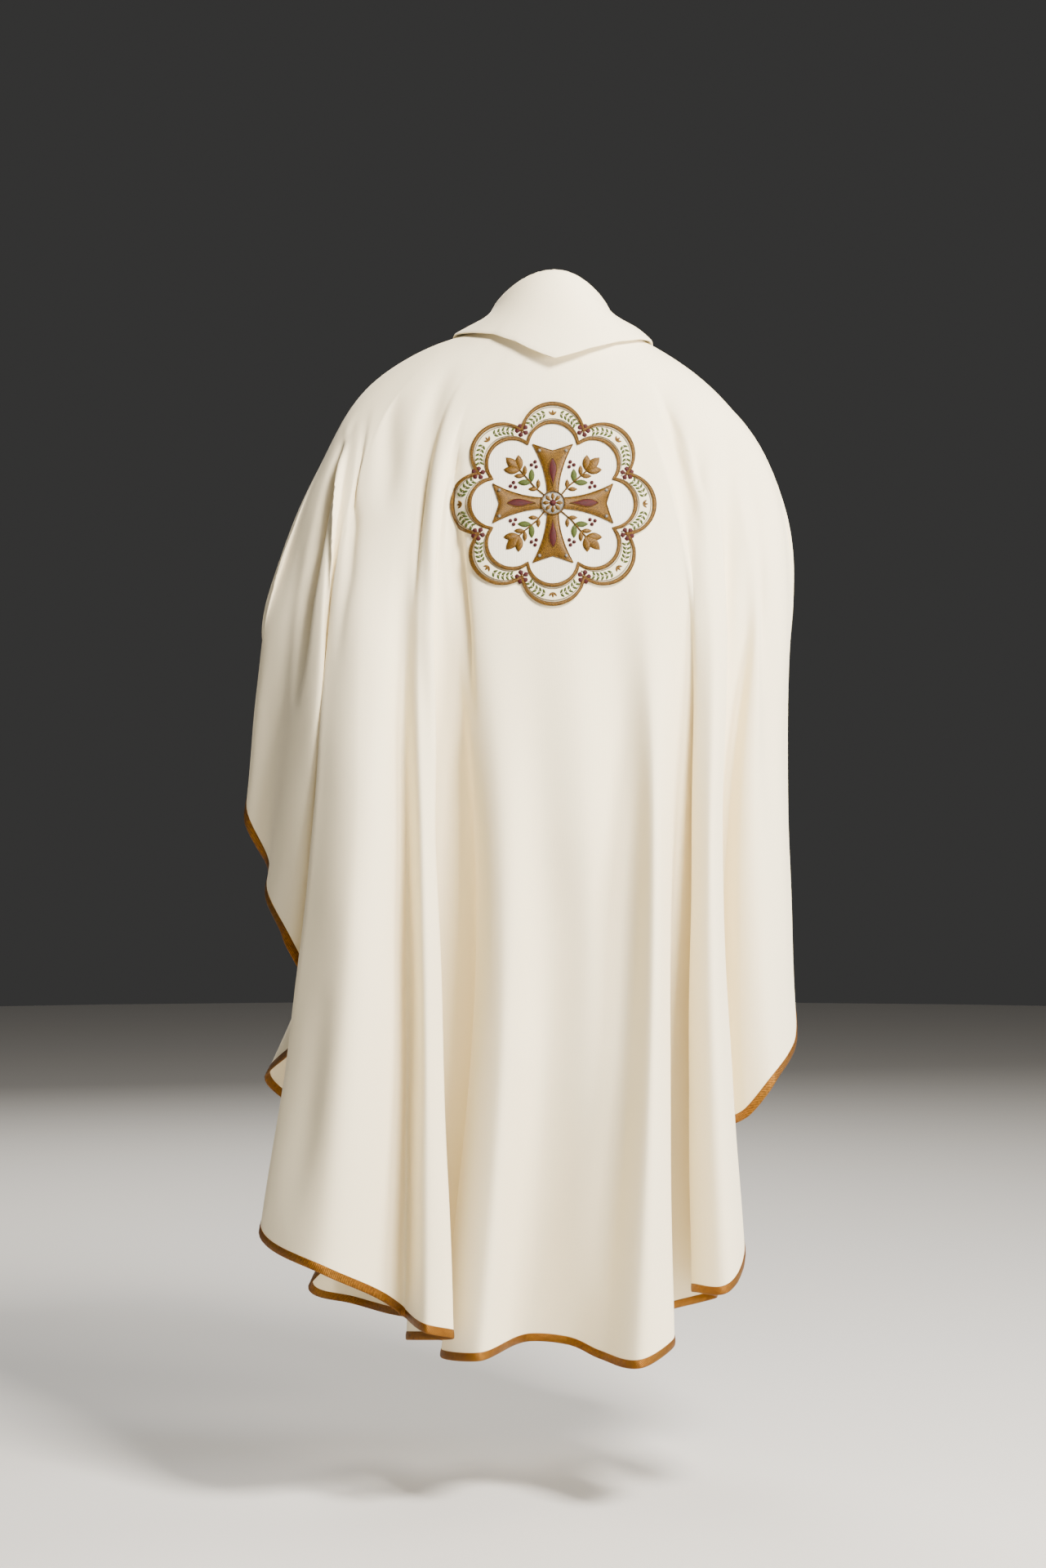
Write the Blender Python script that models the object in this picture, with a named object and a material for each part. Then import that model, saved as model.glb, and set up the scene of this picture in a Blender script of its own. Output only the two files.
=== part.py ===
# A full Gothic chasuble as it hangs on a wearer: a bell of plain cloth cut as a back and a front,
# seamed over the shoulders and arms, with a pointed fall collar, a bound hem and an embroidered
# emblem on the back. Metres, +Z up. The wearer faces +Y and the wearer's right hand is at +X.
# The origin is the middle of the neck, level with the top of the shoulders.
import math
from typing import NamedTuple

import bpy
import numpy as np

# Cloth and seams
CLOTH_WALL = 0.0012
SEAM_GAP = 0.0005
ARM_LINE = 90.0  # turn of the shoulder seams from the centre back, in degrees

# Bound hem: a strip folded over the cloth's edge
BINDING_WIDTH = 0.0090
BINDING_WALL = 0.0024
BINDING_GAP = 0.0008

# Grid of the solids
ROWS = 15
CLOTH_SHARE = 0.993  # of each line down to the hem; the binding takes the rest
ROW_CROWDING = 1.35  # above 1, rows lie closer together towards the neck
COLUMN_SPACING = 0.080  # wanted distance between columns at the hem
COLUMN_TURN = 0.70  # or the hem's turn between columns, in radians

# Collar
COLLAR_WALL = 0.0030
COLLAR_COLUMNS = 40
COLLAR_ROWS_BETWEEN = 2
COLLAR_SEAM_INSET = 0.0021  # the stand's middle lies this far inside the neck edge
COLLAR_SEAM_DROP = 0.0030
ROLL_HALF_GAP = 0.0080  # half the distance from the stand to the fall below the roll
ROLL_DROP = 0.0110
FALL_SHOULDER = 0.35  # share of the reach at which the fall comes to lie on the cloth
FALL_SHOULDER_LIFT = 0.0100

# Emblem on the back
EMBLEM_CENTRE = (-0.003, -0.222)  # X and Z of its middle
EMBLEM_LOBES = 8
EMBLEM_LOBE_CENTRE = 0.0915
EMBLEM_LOBE_RADIUS = 0.0400
EMBLEM_BAND = 0.0290  # from the outer edge to the inner side of the inner cord
EMBLEM_CORD = 0.0050
EMBLEM_GROUND_WALL = 0.0012
EMBLEM_RAISED_WALL = 0.0016
EMBLEM_LAYER_GAP = 0.0003
CROSS_REACH = 0.0720
CROSS_WAIST = 0.0075
CROSS_TIP = 0.0260
CROSS_TIP_NOTCH = 0.0080
ARC_STEPS = 6


class Ring(NamedTuple):
    """A level line of the yoke, where the cloth lies smooth on the shoulders."""

    name: str
    left: float
    right: float
    back: float
    front: float
    side_z: float
    back_z: float
    front_z: float
    squareness: float


RINGS = [
    #    name        left    right   back    front   side_z  back_z  front_z  squareness
    Ring("neck", 0.086, 0.086, 0.080, 0.096, 0.018, 0.030, -0.045, 1.00),
    Ring("shoulder", 0.236, 0.196, 0.114, 0.108, -0.052, -0.105, -0.130, 0.90),
    Ring("yoke", 0.300, 0.276, 0.140, 0.128, -0.150, -0.245, -0.235, 0.85),
]


class FallEdge(NamedTuple):
    """How far the collar reaches down the cloth at a turn from the centre back, and stands off it."""

    name: str
    turn: float
    reach: float
    lift: float


FALL_EDGE = [
    #        name                 turn  reach  lift
    FallEdge("front_left_point", -180, 0.092, 0.005),
    FallEdge("front_left_slope", -158, 0.078, 0.005),
    FallEdge("before_left_shoulder", -120, 0.054, 0.005),
    FallEdge("on_left_shoulder", -90, 0.046, 0.005),
    FallEdge("behind_left_shoulder", -58, 0.040, 0.005),
    FallEdge("back_left_curve", -36, 0.039, 0.007),
    FallEdge("back_left_slope", -20, 0.048, 0.011),
    FallEdge("back_point", 0, 0.070, 0.015),
    FallEdge("back_right_slope", 20, 0.055, 0.011),
    FallEdge("back_right_curve", 38, 0.046, 0.007),
    FallEdge("behind_right_shoulder", 60, 0.043, 0.006),
    FallEdge("on_right_shoulder", 90, 0.046, 0.005),
    FallEdge("before_right_shoulder", 120, 0.054, 0.005),
    FallEdge("front_right_slope", 158, 0.078, 0.005),
    FallEdge("front_right_point", 180, 0.092, 0.005),
]


class Fold(NamedTuple):
    """A line down the cloth: where it leaves the neck, and where it is half way and at the hem."""

    name: str
    turn: float
    half_x: float
    half_y: float
    half_z: float
    hem_x: float
    hem_y: float
    hem_z: float


FOLDS = [
    #    name                 turn    half_x  half_y  half_z   hem_x   hem_y   hem_z
    Fold("left_arm_line", -90, -0.373, 0.022, -0.393, -0.274, 0.188, -0.412),
    Fold("left_cuff_back", -86, -0.378, -0.004, -0.405, -0.337, 0.132, -0.500),
    Fold("left_cuff_outer", -82, -0.374, -0.035, -0.410, -0.402, -0.010, -0.615),
    Fold("left_cuff_hollow", -76, -0.347, -0.064, -0.415, -0.372, -0.026, -0.682),
    Fold("left_cuff_side", -71, -0.324, -0.102, -0.415, -0.371, -0.072, -0.719),
    Fold("left_cuff_crest", -66, -0.300, -0.132, -0.420, -0.341, -0.115, -0.772),
    Fold("left_cuff_return", -61.5, -0.290, -0.124, -0.450, -0.300, -0.056, -0.870),
    Fold("left_deep_hollow", -58.5, -0.282, -0.134, -0.520, -0.263, -0.046, -1.000),
    Fold("left_fold_edge", -55, -0.297, -0.178, -0.620, -0.367, -0.200, -1.142),
    Fold("left_fold_belly", -47, -0.245, -0.225, -0.620, -0.281, -0.275, -1.176),
    Fold("left_fold_fall", -41, -0.209, -0.205, -0.620, -0.218, -0.235, -1.211),
    Fold("left_fold_trough", -36, -0.189, -0.165, -0.620, -0.189, -0.190, -1.240),
    Fold("left_lip_crest", -32, -0.165, -0.205, -0.620, -0.156, -0.270, -1.248),
    Fold("left_lip_edge", -29.5, -0.153, -0.192, -0.620, -0.128, -0.254, -1.256),
    Fold("left_lip_under", -27.5, -0.163, -0.158, -0.620, -0.186, -0.176, -1.272),
    Fold("valley_floor", -26, -0.132, -0.132, -0.620, -0.152, -0.104, -1.284),
    Fold("valley_root", -24, -0.108, -0.134, -0.620, -0.114, -0.130, -1.288),
    Fold("centre_left_edge", -21.5, -0.099, -0.172, -0.620, -0.143, -0.186, -1.292),
    Fold("centre_left_crest", -17, -0.070, -0.203, -0.620, -0.096, -0.246, -1.286),
    Fold("centre_hollow", -6, -0.011, -0.192, -0.620, -0.031, -0.165, -1.276),
    Fold("centre_rise", 3, 0.040, -0.200, -0.620, 0.018, -0.176, -1.279),
    Fold("centre_right_hollow", 12, 0.087, -0.183, -0.620, 0.055, -0.213, -1.289),
    Fold("centre_right_crest", 21, 0.123, -0.212, -0.620, 0.104, -0.275, -1.289),
    Fold("centre_right_edge", 26, 0.139, -0.190, -0.620, 0.144, -0.232, -1.273),
    Fold("right_valley_floor", 29.5, 0.156, -0.150, -0.620, 0.126, -0.090, -1.255),
    Fold("right_valley_root", 32.5, 0.176, -0.132, -0.620, 0.205, -0.085, -1.234),
    Fold("right_fold_lip", 34.5, 0.174, -0.172, -0.620, 0.173, -0.165, -1.213),
    Fold("right_fold_crest", 38, 0.192, -0.193, -0.620, 0.208, -0.198, -1.211),
    Fold("right_fold_edge", 42, 0.210, -0.162, -0.620, 0.241, -0.135, -1.176),
    Fold("right_fold_under", 46, 0.206, -0.118, -0.600, 0.214, -0.060, -1.085),
    Fold("right_side_hollow", 52, 0.226, -0.092, -0.560, 0.215, -0.020, -1.030),
    Fold("right_cuff_back", 60, 0.246, -0.118, -0.500, 0.248, -0.062, -1.001),
    Fold("right_cuff_crest", 67, 0.266, -0.112, -0.460, 0.279, -0.075, -0.960),
    Fold("right_cuff_side", 75, 0.292, -0.074, -0.440, 0.304, -0.045, -0.931),
    Fold("right_cuff_outer", 81, 0.303, -0.022, -0.425, 0.318, 0.010, -0.903),
    Fold("right_cuff_front", 84.5, 0.308, 0.010, -0.415, 0.296, 0.092, -0.720),
    Fold("right_arm_fall", 87, 0.306, 0.034, -0.405, 0.266, 0.162, -0.495),
    Fold("right_arm_line", 90, 0.298, 0.058, -0.395, 0.232, 0.203, -0.435),
    Fold("right_arm_inner", 94, 0.268, 0.074, -0.408, 0.212, 0.200, -0.472),
    Fold("right_front_drop", 100, 0.226, 0.098, -0.430, 0.258, 0.150, -0.700),
    Fold("right_front_hang", 107, 0.204, 0.124, -0.455, 0.244, 0.160, -0.940),
    Fold("right_front_corner", 115, 0.186, 0.146, -0.475, 0.228, 0.216, -1.085),
    Fold("right_front_return", 123, 0.172, 0.166, -0.500, 0.206, 0.256, -1.165),
    Fold("right_front_hollow", 130, 0.156, 0.178, -0.550, 0.186, 0.192, -1.212),
    Fold("right_front_crest", 137, 0.130, 0.202, -0.560, 0.142, 0.285, -1.243),
    Fold("right_front_trough", 146, 0.098, 0.180, -0.600, 0.104, 0.188, -1.272),
    Fold("front_right_rib", 156, 0.062, 0.192, -0.640, 0.062, 0.256, -1.290),
    Fold("front_centre_trough", 168, 0.018, 0.178, -0.640, 0.016, 0.208, -1.298),
    Fold("front_left_rib", 180, -0.030, 0.200, -0.620, -0.030, 0.292, -1.300),
    Fold("left_front_trough", 192, -0.078, 0.174, -0.620, -0.085, 0.186, -1.303),
    Fold("left_front_crest", 202, -0.116, 0.196, -0.600, -0.136, 0.262, -1.304),
    Fold("left_front_hollow", 212, -0.160, 0.180, -0.580, -0.196, 0.180, -1.303),
    Fold("left_low_crest", 222, -0.192, 0.198, -0.560, -0.278, 0.262, -1.299),
    Fold("left_low_corner", 230, -0.196, 0.176, -0.520, -0.333, 0.205, -1.272),
    Fold("left_low_return", 236, -0.203, 0.152, -0.490, -0.262, 0.135, -1.160),
    Fold("left_hang_far", 242, -0.224, 0.134, -0.465, -0.345, 0.208, -1.030),
    Fold("left_hang_corner", 248, -0.248, 0.110, -0.450, -0.390, 0.160, -0.975),
    Fold("left_hang_near", 254, -0.275, 0.088, -0.430, -0.343, 0.098, -0.920),
    Fold("left_front_drop", 260, -0.302, 0.068, -0.412, -0.328, 0.106, -0.680),
    Fold("left_arm_inner", 265, -0.342, 0.040, -0.402, -0.252, 0.180, -0.455),
]

ROLL = Ring("roll", 0.075, 0.066, 0.070, 0.092, 0.048, 0.084, -0.004, 1.00)

COLOURS = {
    # finish:        red    green  blue   roughness metallic
    "ivory_cloth": (0.860, 0.835, 0.740, 0.75, 0.0),
    "gold_binding": (0.560, 0.340, 0.080, 0.45, 0.3),
    "emblem_ground": (0.870, 0.850, 0.780, 0.70, 0.0),
    "gold_thread": (0.640, 0.420, 0.130, 0.40, 0.4),
}


def clear_scene():
    for thing in list(bpy.data.objects):
        bpy.data.objects.remove(thing)


def finish_named(name):
    """The plain material of that name, made once."""
    material = bpy.data.materials.get(name)
    if material:
        return material
    red, green, blue, roughness, metallic = COLOURS[name]
    material = bpy.data.materials.new(name)
    material.use_nodes = True
    shader = material.node_tree.nodes["Principled BSDF"]
    shader.inputs["Base Color"].default_value = (red, green, blue, 1.0)
    shader.inputs["Roughness"].default_value = roughness
    shader.inputs["Metallic"].default_value = metallic
    return material


def piece(name, points, faces, finish):
    """One named object from points and faces, shaded smooth."""
    mesh = bpy.data.meshes.new(name)
    mesh.from_pydata([tuple(p) for p in points], [], [tuple(f) for f in faces])
    mesh.materials.append(finish_named(finish))
    mesh.shade_smooth()
    mesh.set_sharp_from_angle(angle=math.radians(50))
    made = bpy.data.objects.new(name, mesh)
    bpy.context.scene.collection.objects.link(made)
    return made


def hermite(start, end, start_slope, end_slope, width, share):
    """A cubic from start to end over width, with those slopes, at share of the way."""
    square, cube = share**2, share**3
    return (
        (2 * cube - 3 * square + 1) * start
        + (cube - 2 * square + share) * width * start_slope
        + (3 * square - 2 * cube) * end
        + (cube - square) * width * end_slope
    )


def around(places, values, at, lap=0.0, keep_order=False):
    """Values on a closed line of places, read at other places of it.

    A value grows by lap each time round. keep_order holds rising values rising.
    """
    span = places[-1]
    values = np.asarray(values, float)
    width = np.diff(places)
    following = np.concatenate([values[1:], values[:1] + lap])
    rise = (following - values) / width.reshape((-1,) + (1,) * (values.ndim - 1))
    before, width_before = np.roll(rise, 1, axis=0), np.roll(width, 1)
    share = (width_before / (width_before + width)).reshape(
        (-1,) + (1,) * (values.ndim - 1)
    )
    if keep_order:
        slope = 2 * before * rise / (before + rise)
    else:
        slope = before * (1 - share) + rise * share
    read = []
    for place in at:
        i = min(int(np.searchsorted(places, place % span, side="right")) - 1, len(width) - 1)
        following_slope = slope[(i + 1) % len(slope)]
        along = (place % span - places[i]) / width[i]
        read.append(hermite(values[i], following[i], slope[i], following_slope, width[i], along))
    return np.array(read)


def natural_curve(points, shares):
    """A smooth curve through the points, read at shares of its length from end to end."""
    knots = np.concatenate([[0], np.cumsum(np.linalg.norm(np.diff(points, axis=0), axis=1))])
    width = np.diff(knots)
    count = len(points)
    system, right = np.eye(count), np.zeros((count, 3))
    for i in range(1, count - 1):
        system[i, i - 1 : i + 2] = width[i - 1], 2 * (width[i - 1] + width[i]), width[i]
        right[i] = 6 * (
            (points[i + 1] - points[i]) / width[i] - (points[i] - points[i - 1]) / width[i - 1]
        )
    bend = np.linalg.solve(system, right)
    read = []
    for share in shares:
        place = share * knots[-1]
        i = min(int(np.searchsorted(knots, place, side="right")) - 1, count - 2)
        far, near = (knots[i + 1] - place) / width[i], (place - knots[i]) / width[i]
        read.append(
            far * points[i]
            + near * points[i + 1]
            + ((far**3 - far) * bend[i] + (near**3 - near) * bend[i + 1]) * width[i] ** 2 / 6
        )
    return np.array(read)


def on_ring(ring, turn):
    """The point of a ring at a turn from the centre back, in degrees."""
    across, along = math.sin(math.radians(turn)), math.cos(math.radians(turn))
    reach_x = ring.right if across > 0 else ring.left
    reach_y, far_z = (-ring.back, ring.back_z) if along > 0 else (ring.front, ring.front_z)
    return np.array(
        [
            reach_x * across,
            reach_y * abs(along) ** ring.squareness,
            ring.side_z + (far_z - ring.side_z) * along**2,
        ]
    )


def fold_places():
    """Where each fold line stands along the hem, with the whole way round at the end."""
    hem = np.array([(f.hem_x, f.hem_y, f.hem_z) for f in FOLDS])
    half = np.array([(f.half_x, f.half_y, f.half_z) for f in FOLDS])
    steps = [
        np.linalg.norm(np.roll(line, -1, axis=0) - line, axis=1) for line in (hem, half)
    ]
    return np.concatenate([[0], np.cumsum(0.6 * steps[0] + 0.4 * steps[1])])


def column_places(places):
    """Columns between the fold lines, closest where the hem is long or turns sharply."""
    hem = np.array([(f.hem_x, f.hem_y, f.hem_z) for f in FOLDS])
    columns = []
    for start, end in zip(places[:-1], places[1:]):
        line = around(places, hem, np.linspace(start, end, 12))
        steps = np.diff(line, axis=0)
        length = np.linalg.norm(steps, axis=1)
        ways = unit(steps)
        turned = np.arccos(np.clip((ways[1:] * ways[:-1]).sum(axis=1), -1, 1)).sum()
        count = max(1, round(length.sum() / COLUMN_SPACING + turned / COLUMN_TURN))
        columns += list(np.linspace(start, end, count, endpoint=False))
    return columns


def draped_grid(columns, shares):
    """The middle of the cloth, as points[row][column] from the neck to the hem, all the way round."""
    places = fold_places()
    turns = around(places, [f.turn for f in FOLDS], columns, lap=360.0, keep_order=True)
    halves = around(places, [(f.half_x, f.half_y, f.half_z) for f in FOLDS], columns)
    hems = around(places, [(f.hem_x, f.hem_y, f.hem_z) for f in FOLDS], columns)
    lines = []
    for turn, half, hem in zip(turns, halves, hems):
        stations = [on_ring(ring, turn) for ring in RINGS] + [half, hem]
        lines.append(natural_curve(np.array(stations), shares))
    return np.array(lines).transpose(1, 0, 2)


def row_shares():
    """Where the rows lie down each line; the last stops short of the hem by the binding's width."""
    return np.linspace(0, 1, ROWS) ** ROW_CROWDING * CLOTH_SHARE


def unit(vectors):
    return vectors / np.linalg.norm(vectors, axis=-1, keepdims=True)


def along(loop, axis=0):
    """The direction along a closed loop at each point, midway between the steps either side."""
    ahead = unit(np.roll(loop, -1, axis=axis) - loop)
    return unit(ahead + np.roll(ahead, 1, axis=axis))


def outward(grid):
    """The direction out of the cloth at each point of a grid that closes round."""
    right, lower = np.roll(grid, -1, axis=1), slice(1, None)
    cells = unit(np.cross(grid[lower] - right[:-1], right[lower] - grid[:-1]))
    cells = cells + np.roll(cells, 1, axis=1)
    return unit(np.concatenate([cells[:1], cells[1:] + cells[:-1], cells[-1:]]))


def wall(name, middle, out, low, high, finish, closed=False):
    """A cloth wall on a grid, from low to high along its outward direction."""
    rows, columns = middle.shape[:2]
    count = rows * columns
    points = np.concatenate([(middle + out * high).reshape(-1, 3), (middle + out * low).reshape(-1, 3)])
    spans = columns if closed else columns - 1

    def index(row, column, inner=0):
        return inner * count + row * columns + column % columns

    faces = []
    for row in range(rows - 1):
        for column in range(spans):
            a, b = index(row, column), index(row, column + 1)
            c, d = index(row + 1, column), index(row + 1, column + 1)
            faces += [(a, c, d), (a, d, b)]
            a, b, c, d = a + count, b + count, c + count, d + count
            faces += [(a, d, c), (a, b, d)]
    for column in range(spans):
        for row, turned in ((0, False), (rows - 1, True)):
            edge = [
                index(row, column),
                index(row, column + 1),
                index(row, column + 1, 1),
                index(row, column, 1),
            ]
            faces.append(edge[::-1] if turned else edge)
    if not closed:
        for row in range(rows - 1):
            for column, turned in ((0, False), (columns - 1, True)):
                edge = [
                    index(row, column),
                    index(row, column, 1),
                    index(row + 1, column, 1),
                    index(row + 1, column),
                ]
                faces.append(edge[::-1] if turned else edge)
    return piece(name, points, faces, finish)


def past_hem(grid, out):
    """At each point of the cloth's edge, the direction away from the cloth, square to the edge."""
    return unit(np.cross(along(grid[-1]), out[-1]))


def panel(name, rows, outs, first, last):
    """One cut piece of the cloth, between two columns of the whole grid, eased back at its seams."""
    picked = [i % rows.shape[1] for i in range(first, last + 1)]
    middle, out = rows[:, picked].copy(), outs[:, picked]
    for edge, inner in ((0, 1), (-1, -2)):
        across = middle[:, inner] - middle[:, edge]
        across -= (across * out[:, edge]).sum(axis=1, keepdims=True) * out[:, edge]
        middle[:, edge] += unit(across) * SEAM_GAP / 2
    return wall(name, middle, out, -CLOTH_WALL / 2, CLOTH_WALL / 2, "ivory_cloth")


def binding(grid, out):
    """The gold strip along the whole hem, thicker than the cloth, as it's folded over the edge."""
    away = past_hem(grid, out)
    middle = np.array([grid[-1] + away * reach for reach in (BINDING_GAP, BINDING_GAP + BINDING_WIDTH)])
    out = np.array([out[-1], out[-1]])
    wall("hem_binding", middle, out, -BINDING_WALL / 2, BINDING_WALL / 2, "gold_binding", closed=True)


def columns_at(turns):
    """The places of the columns that leave the neck at those turns."""
    places = fold_places()
    tried = np.linspace(0, places[-1], 1200, endpoint=False)
    reached = around(places, [f.turn for f in FOLDS], tried, lap=360.0, keep_order=True)
    return np.interp(turns, reached, tried)


def reached_down(grid, out, column, distance, lift):
    """The point at a distance down a column of the cloth, moved out by lift."""
    line = grid[:, column]
    lengths = np.concatenate([[0], np.cumsum(np.linalg.norm(np.diff(line, axis=0), axis=1))])
    point = [np.interp(distance, lengths, line[:, k]) for k in range(3)]
    facing = [np.interp(distance, lengths, out[:, column, k]) for k in range(3)]
    return np.array(point) + np.array(facing) * lift


def fall_edge(turn):
    """How far the fall reaches down the cloth at a turn, and how far its edge stands off it."""
    turned = (turn + 180) % 360 - 180
    turns = [f.turn for f in FALL_EDGE]
    reach = np.interp(turned, turns, [f.reach for f in FALL_EDGE])
    return reach, np.interp(turned, turns, [f.lift for f in FALL_EDGE])


def collar():
    """Stand, roll and fall in one wall, sewn to the neck edge and lying over the cloth."""
    turns = np.arange(COLLAR_COLUMNS) * 360.0 / COLLAR_COLUMNS - ARM_LINE
    under = draped_grid(columns_at(turns), row_shares())
    under_out = outward(under)
    up = np.array([0.0, 0.0, 1.0])
    lines = []
    for column, turn in enumerate(turns):
        neck, roll = on_ring(RINGS[0], turn), on_ring(ROLL, turn)
        out = unit(np.array([neck[0], neck[1], 0.0]))
        reach, lift = fall_edge(turn)
        stations = [
            neck - out * COLLAR_SEAM_INSET - up * COLLAR_SEAM_DROP,
            roll - out * ROLL_HALF_GAP - up * ROLL_DROP,
            roll,
            roll + out * ROLL_HALF_GAP - up * ROLL_DROP,
            reached_down(under, under_out, column, reach * FALL_SHOULDER, FALL_SHOULDER_LIFT),
            reached_down(under, under_out, column, reach, lift),
        ]
        steps = (len(stations) - 1) * COLLAR_ROWS_BETWEEN
        lines.append(natural_curve(np.array(stations), np.linspace(0, 1, steps + 1)))
    middle = np.array(lines).transpose(1, 0, 2)
    half = COLLAR_WALL / 2
    wall("collar", middle, outward(middle), -half, half, "ivory_cloth", closed=True)


def octofoil(inset):
    """Eight round lobes on a circle, scaled down so that each lies inset from the emblem's edge."""
    scale = 1 - inset / (EMBLEM_LOBE_CENTRE + EMBLEM_LOBE_RADIUS)
    half_pitch = math.pi / EMBLEM_LOBES
    sweep = half_pitch + math.asin(EMBLEM_LOBE_CENTRE * math.sin(half_pitch) / EMBLEM_LOBE_RADIUS)
    points = []
    for lobe in range(EMBLEM_LOBES):
        facing = 2 * lobe * half_pitch
        for step in range(ARC_STEPS):
            angle = facing + sweep * (2 * step / ARC_STEPS - 1)
            x = EMBLEM_LOBE_CENTRE * math.cos(facing) + EMBLEM_LOBE_RADIUS * math.cos(angle)
            y = EMBLEM_LOBE_CENTRE * math.sin(facing) + EMBLEM_LOBE_RADIUS * math.sin(angle)
            points.append((x * scale, y * scale))
    return points


def flared_cross():
    """A cross of four equal arms, each flaring to a notched end."""
    points = []
    for arm in range(4):
        turn = arm * math.pi / 2
        side = [(CROSS_WAIST, -CROSS_WAIST)]
        for step in (0.4, 0.7, 1.0):
            side.append(
                (
                    CROSS_WAIST + (CROSS_REACH - CROSS_WAIST) * step,
                    -CROSS_WAIST - (CROSS_TIP - CROSS_WAIST) * step**2,
                )
            )
        notch = (CROSS_REACH - CROSS_TIP_NOTCH, 0.0)
        outline = side + [notch] + [(x, -y) for x, y in side[:0:-1]]
        points += [
            (x * math.cos(turn) - y * math.sin(turn), x * math.sin(turn) + y * math.cos(turn))
            for x, y in outline
        ]
    return points


def cutter(name, outline, hole=None):
    """A prism along Y through the emblem's place, with a hole of as many points if one is given."""
    centre_x, centre_z = EMBLEM_CENTRE
    near, far = -0.40, -0.02
    loops = [outline] + ([hole] if hole else [])
    points = [
        (centre_x + x, depth, centre_z + z) for loop in loops for depth in (near, far) for x, z in loop
    ]
    count = len(outline)
    faces = []
    for which in range(len(loops)):
        front, rear = 2 * which * count, (2 * which + 1) * count
        for i in range(count):
            j = (i + 1) % count
            side = (front + i, rear + i, rear + j, front + j)
            faces.append(side if which == 0 else side[::-1])
    for depth, turned in ((0, False), (1, True)):
        if hole:
            caps = []
            for i in range(count):
                j = (i + 1) % count
                outer, inner = depth * count, (2 + depth) * count
                caps.append((outer + i, outer + j, inner + j, inner + i))
        else:
            caps = [tuple(range(depth * count, (depth + 1) * count))]
        faces += [cap[::-1] if turned else cap for cap in caps]
    mesh = bpy.data.meshes.new(name)
    mesh.from_pydata(points, [], faces)
    tool = bpy.data.objects.new(name, mesh)
    tool.hide_render = True
    tool.display_type = "WIRE"
    bpy.context.scene.collection.objects.link(tool)
    return tool


def emblem_layer(name, middle, out, lift, thick, tool, finish):
    """A flat applied layer that follows the cloth, cut to an outline."""
    made = wall(name, middle, out, lift, lift + thick, finish)
    cut = made.modifiers.new("outline", "BOOLEAN")
    cut.operation = "INTERSECT"
    cut.object = tool


def emblem(rows, outs):
    """The embroidered ground, its two border cords and the raised cross."""
    reach = EMBLEM_LOBE_CENTRE + EMBLEM_LOBE_RADIUS
    x, y, z = rows[..., 0], rows[..., 1], rows[..., 2]
    inside = (
        (abs(x - EMBLEM_CENTRE[0]) < reach) & (abs(z - EMBLEM_CENTRE[1]) < reach) & (y < 0)
    )
    picked_rows, picked_columns = np.nonzero(inside)
    row_span = slice(picked_rows.min() - 1, picked_rows.max() + 2)
    column_span = slice(picked_columns.min() - 1, picked_columns.max() + 2)
    middle, out = rows[row_span, column_span], outs[row_span, column_span]
    ground_low = CLOTH_WALL / 2 + EMBLEM_LAYER_GAP
    raised_low = ground_low + EMBLEM_GROUND_WALL + EMBLEM_LAYER_GAP
    inner = EMBLEM_BAND - EMBLEM_CORD
    layers = [
        ("emblem_ground", ground_low, EMBLEM_GROUND_WALL, octofoil(0.0), None, "emblem_ground"),
        (
            "emblem_outer_cord",
            raised_low,
            EMBLEM_RAISED_WALL,
            octofoil(0.0005),
            octofoil(EMBLEM_CORD),
            "gold_thread",
        ),
        (
            "emblem_inner_cord",
            raised_low,
            EMBLEM_RAISED_WALL,
            octofoil(inner),
            octofoil(EMBLEM_BAND),
            "gold_thread",
        ),
        ("emblem_cross", raised_low, EMBLEM_RAISED_WALL, flared_cross(), None, "gold_thread"),
    ]
    for name, lift, thick, outline, hole, finish in layers:
        tool = cutter(name + "_outline", outline, hole)
        emblem_layer(name, middle, out, lift, thick, tool, finish)


def chasuble():
    places = fold_places()
    columns = column_places(places)
    grid = draped_grid(columns, row_shares())
    out = outward(grid)
    right_arm = columns.index(places[[f.turn for f in FOLDS].index(ARM_LINE)])
    panel("back_panel", grid, out, 0, right_arm)
    panel("front_panel", grid, out, right_arm, len(columns))
    binding(grid, out)
    collar()
    emblem(grid, out)


clear_scene()
chasuble()
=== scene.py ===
import math
from collections import namedtuple

import bpy
import numpy as np
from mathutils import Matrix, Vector
from mathutils.bvhtree import BVHTree


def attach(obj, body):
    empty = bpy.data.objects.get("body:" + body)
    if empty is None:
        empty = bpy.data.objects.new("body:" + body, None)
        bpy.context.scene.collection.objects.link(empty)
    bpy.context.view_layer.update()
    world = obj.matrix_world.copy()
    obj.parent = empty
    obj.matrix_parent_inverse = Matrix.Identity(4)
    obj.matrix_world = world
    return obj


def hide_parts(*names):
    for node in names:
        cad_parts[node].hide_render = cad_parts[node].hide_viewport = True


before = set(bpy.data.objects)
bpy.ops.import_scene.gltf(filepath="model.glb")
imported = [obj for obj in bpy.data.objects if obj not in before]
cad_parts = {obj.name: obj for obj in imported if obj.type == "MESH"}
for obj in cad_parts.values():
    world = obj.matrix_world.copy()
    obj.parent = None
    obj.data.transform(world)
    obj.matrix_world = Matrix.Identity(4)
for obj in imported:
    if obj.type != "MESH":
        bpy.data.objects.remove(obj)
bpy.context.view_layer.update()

ring = namedtuple("ring", "left right back front sideZ backZ frontZ squareness")
foldLine = namedtuple("foldLine", "name turn halfX halfY halfZ hemX hemY hemZ")
crease = namedtuple("crease", "side width depth path")

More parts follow.
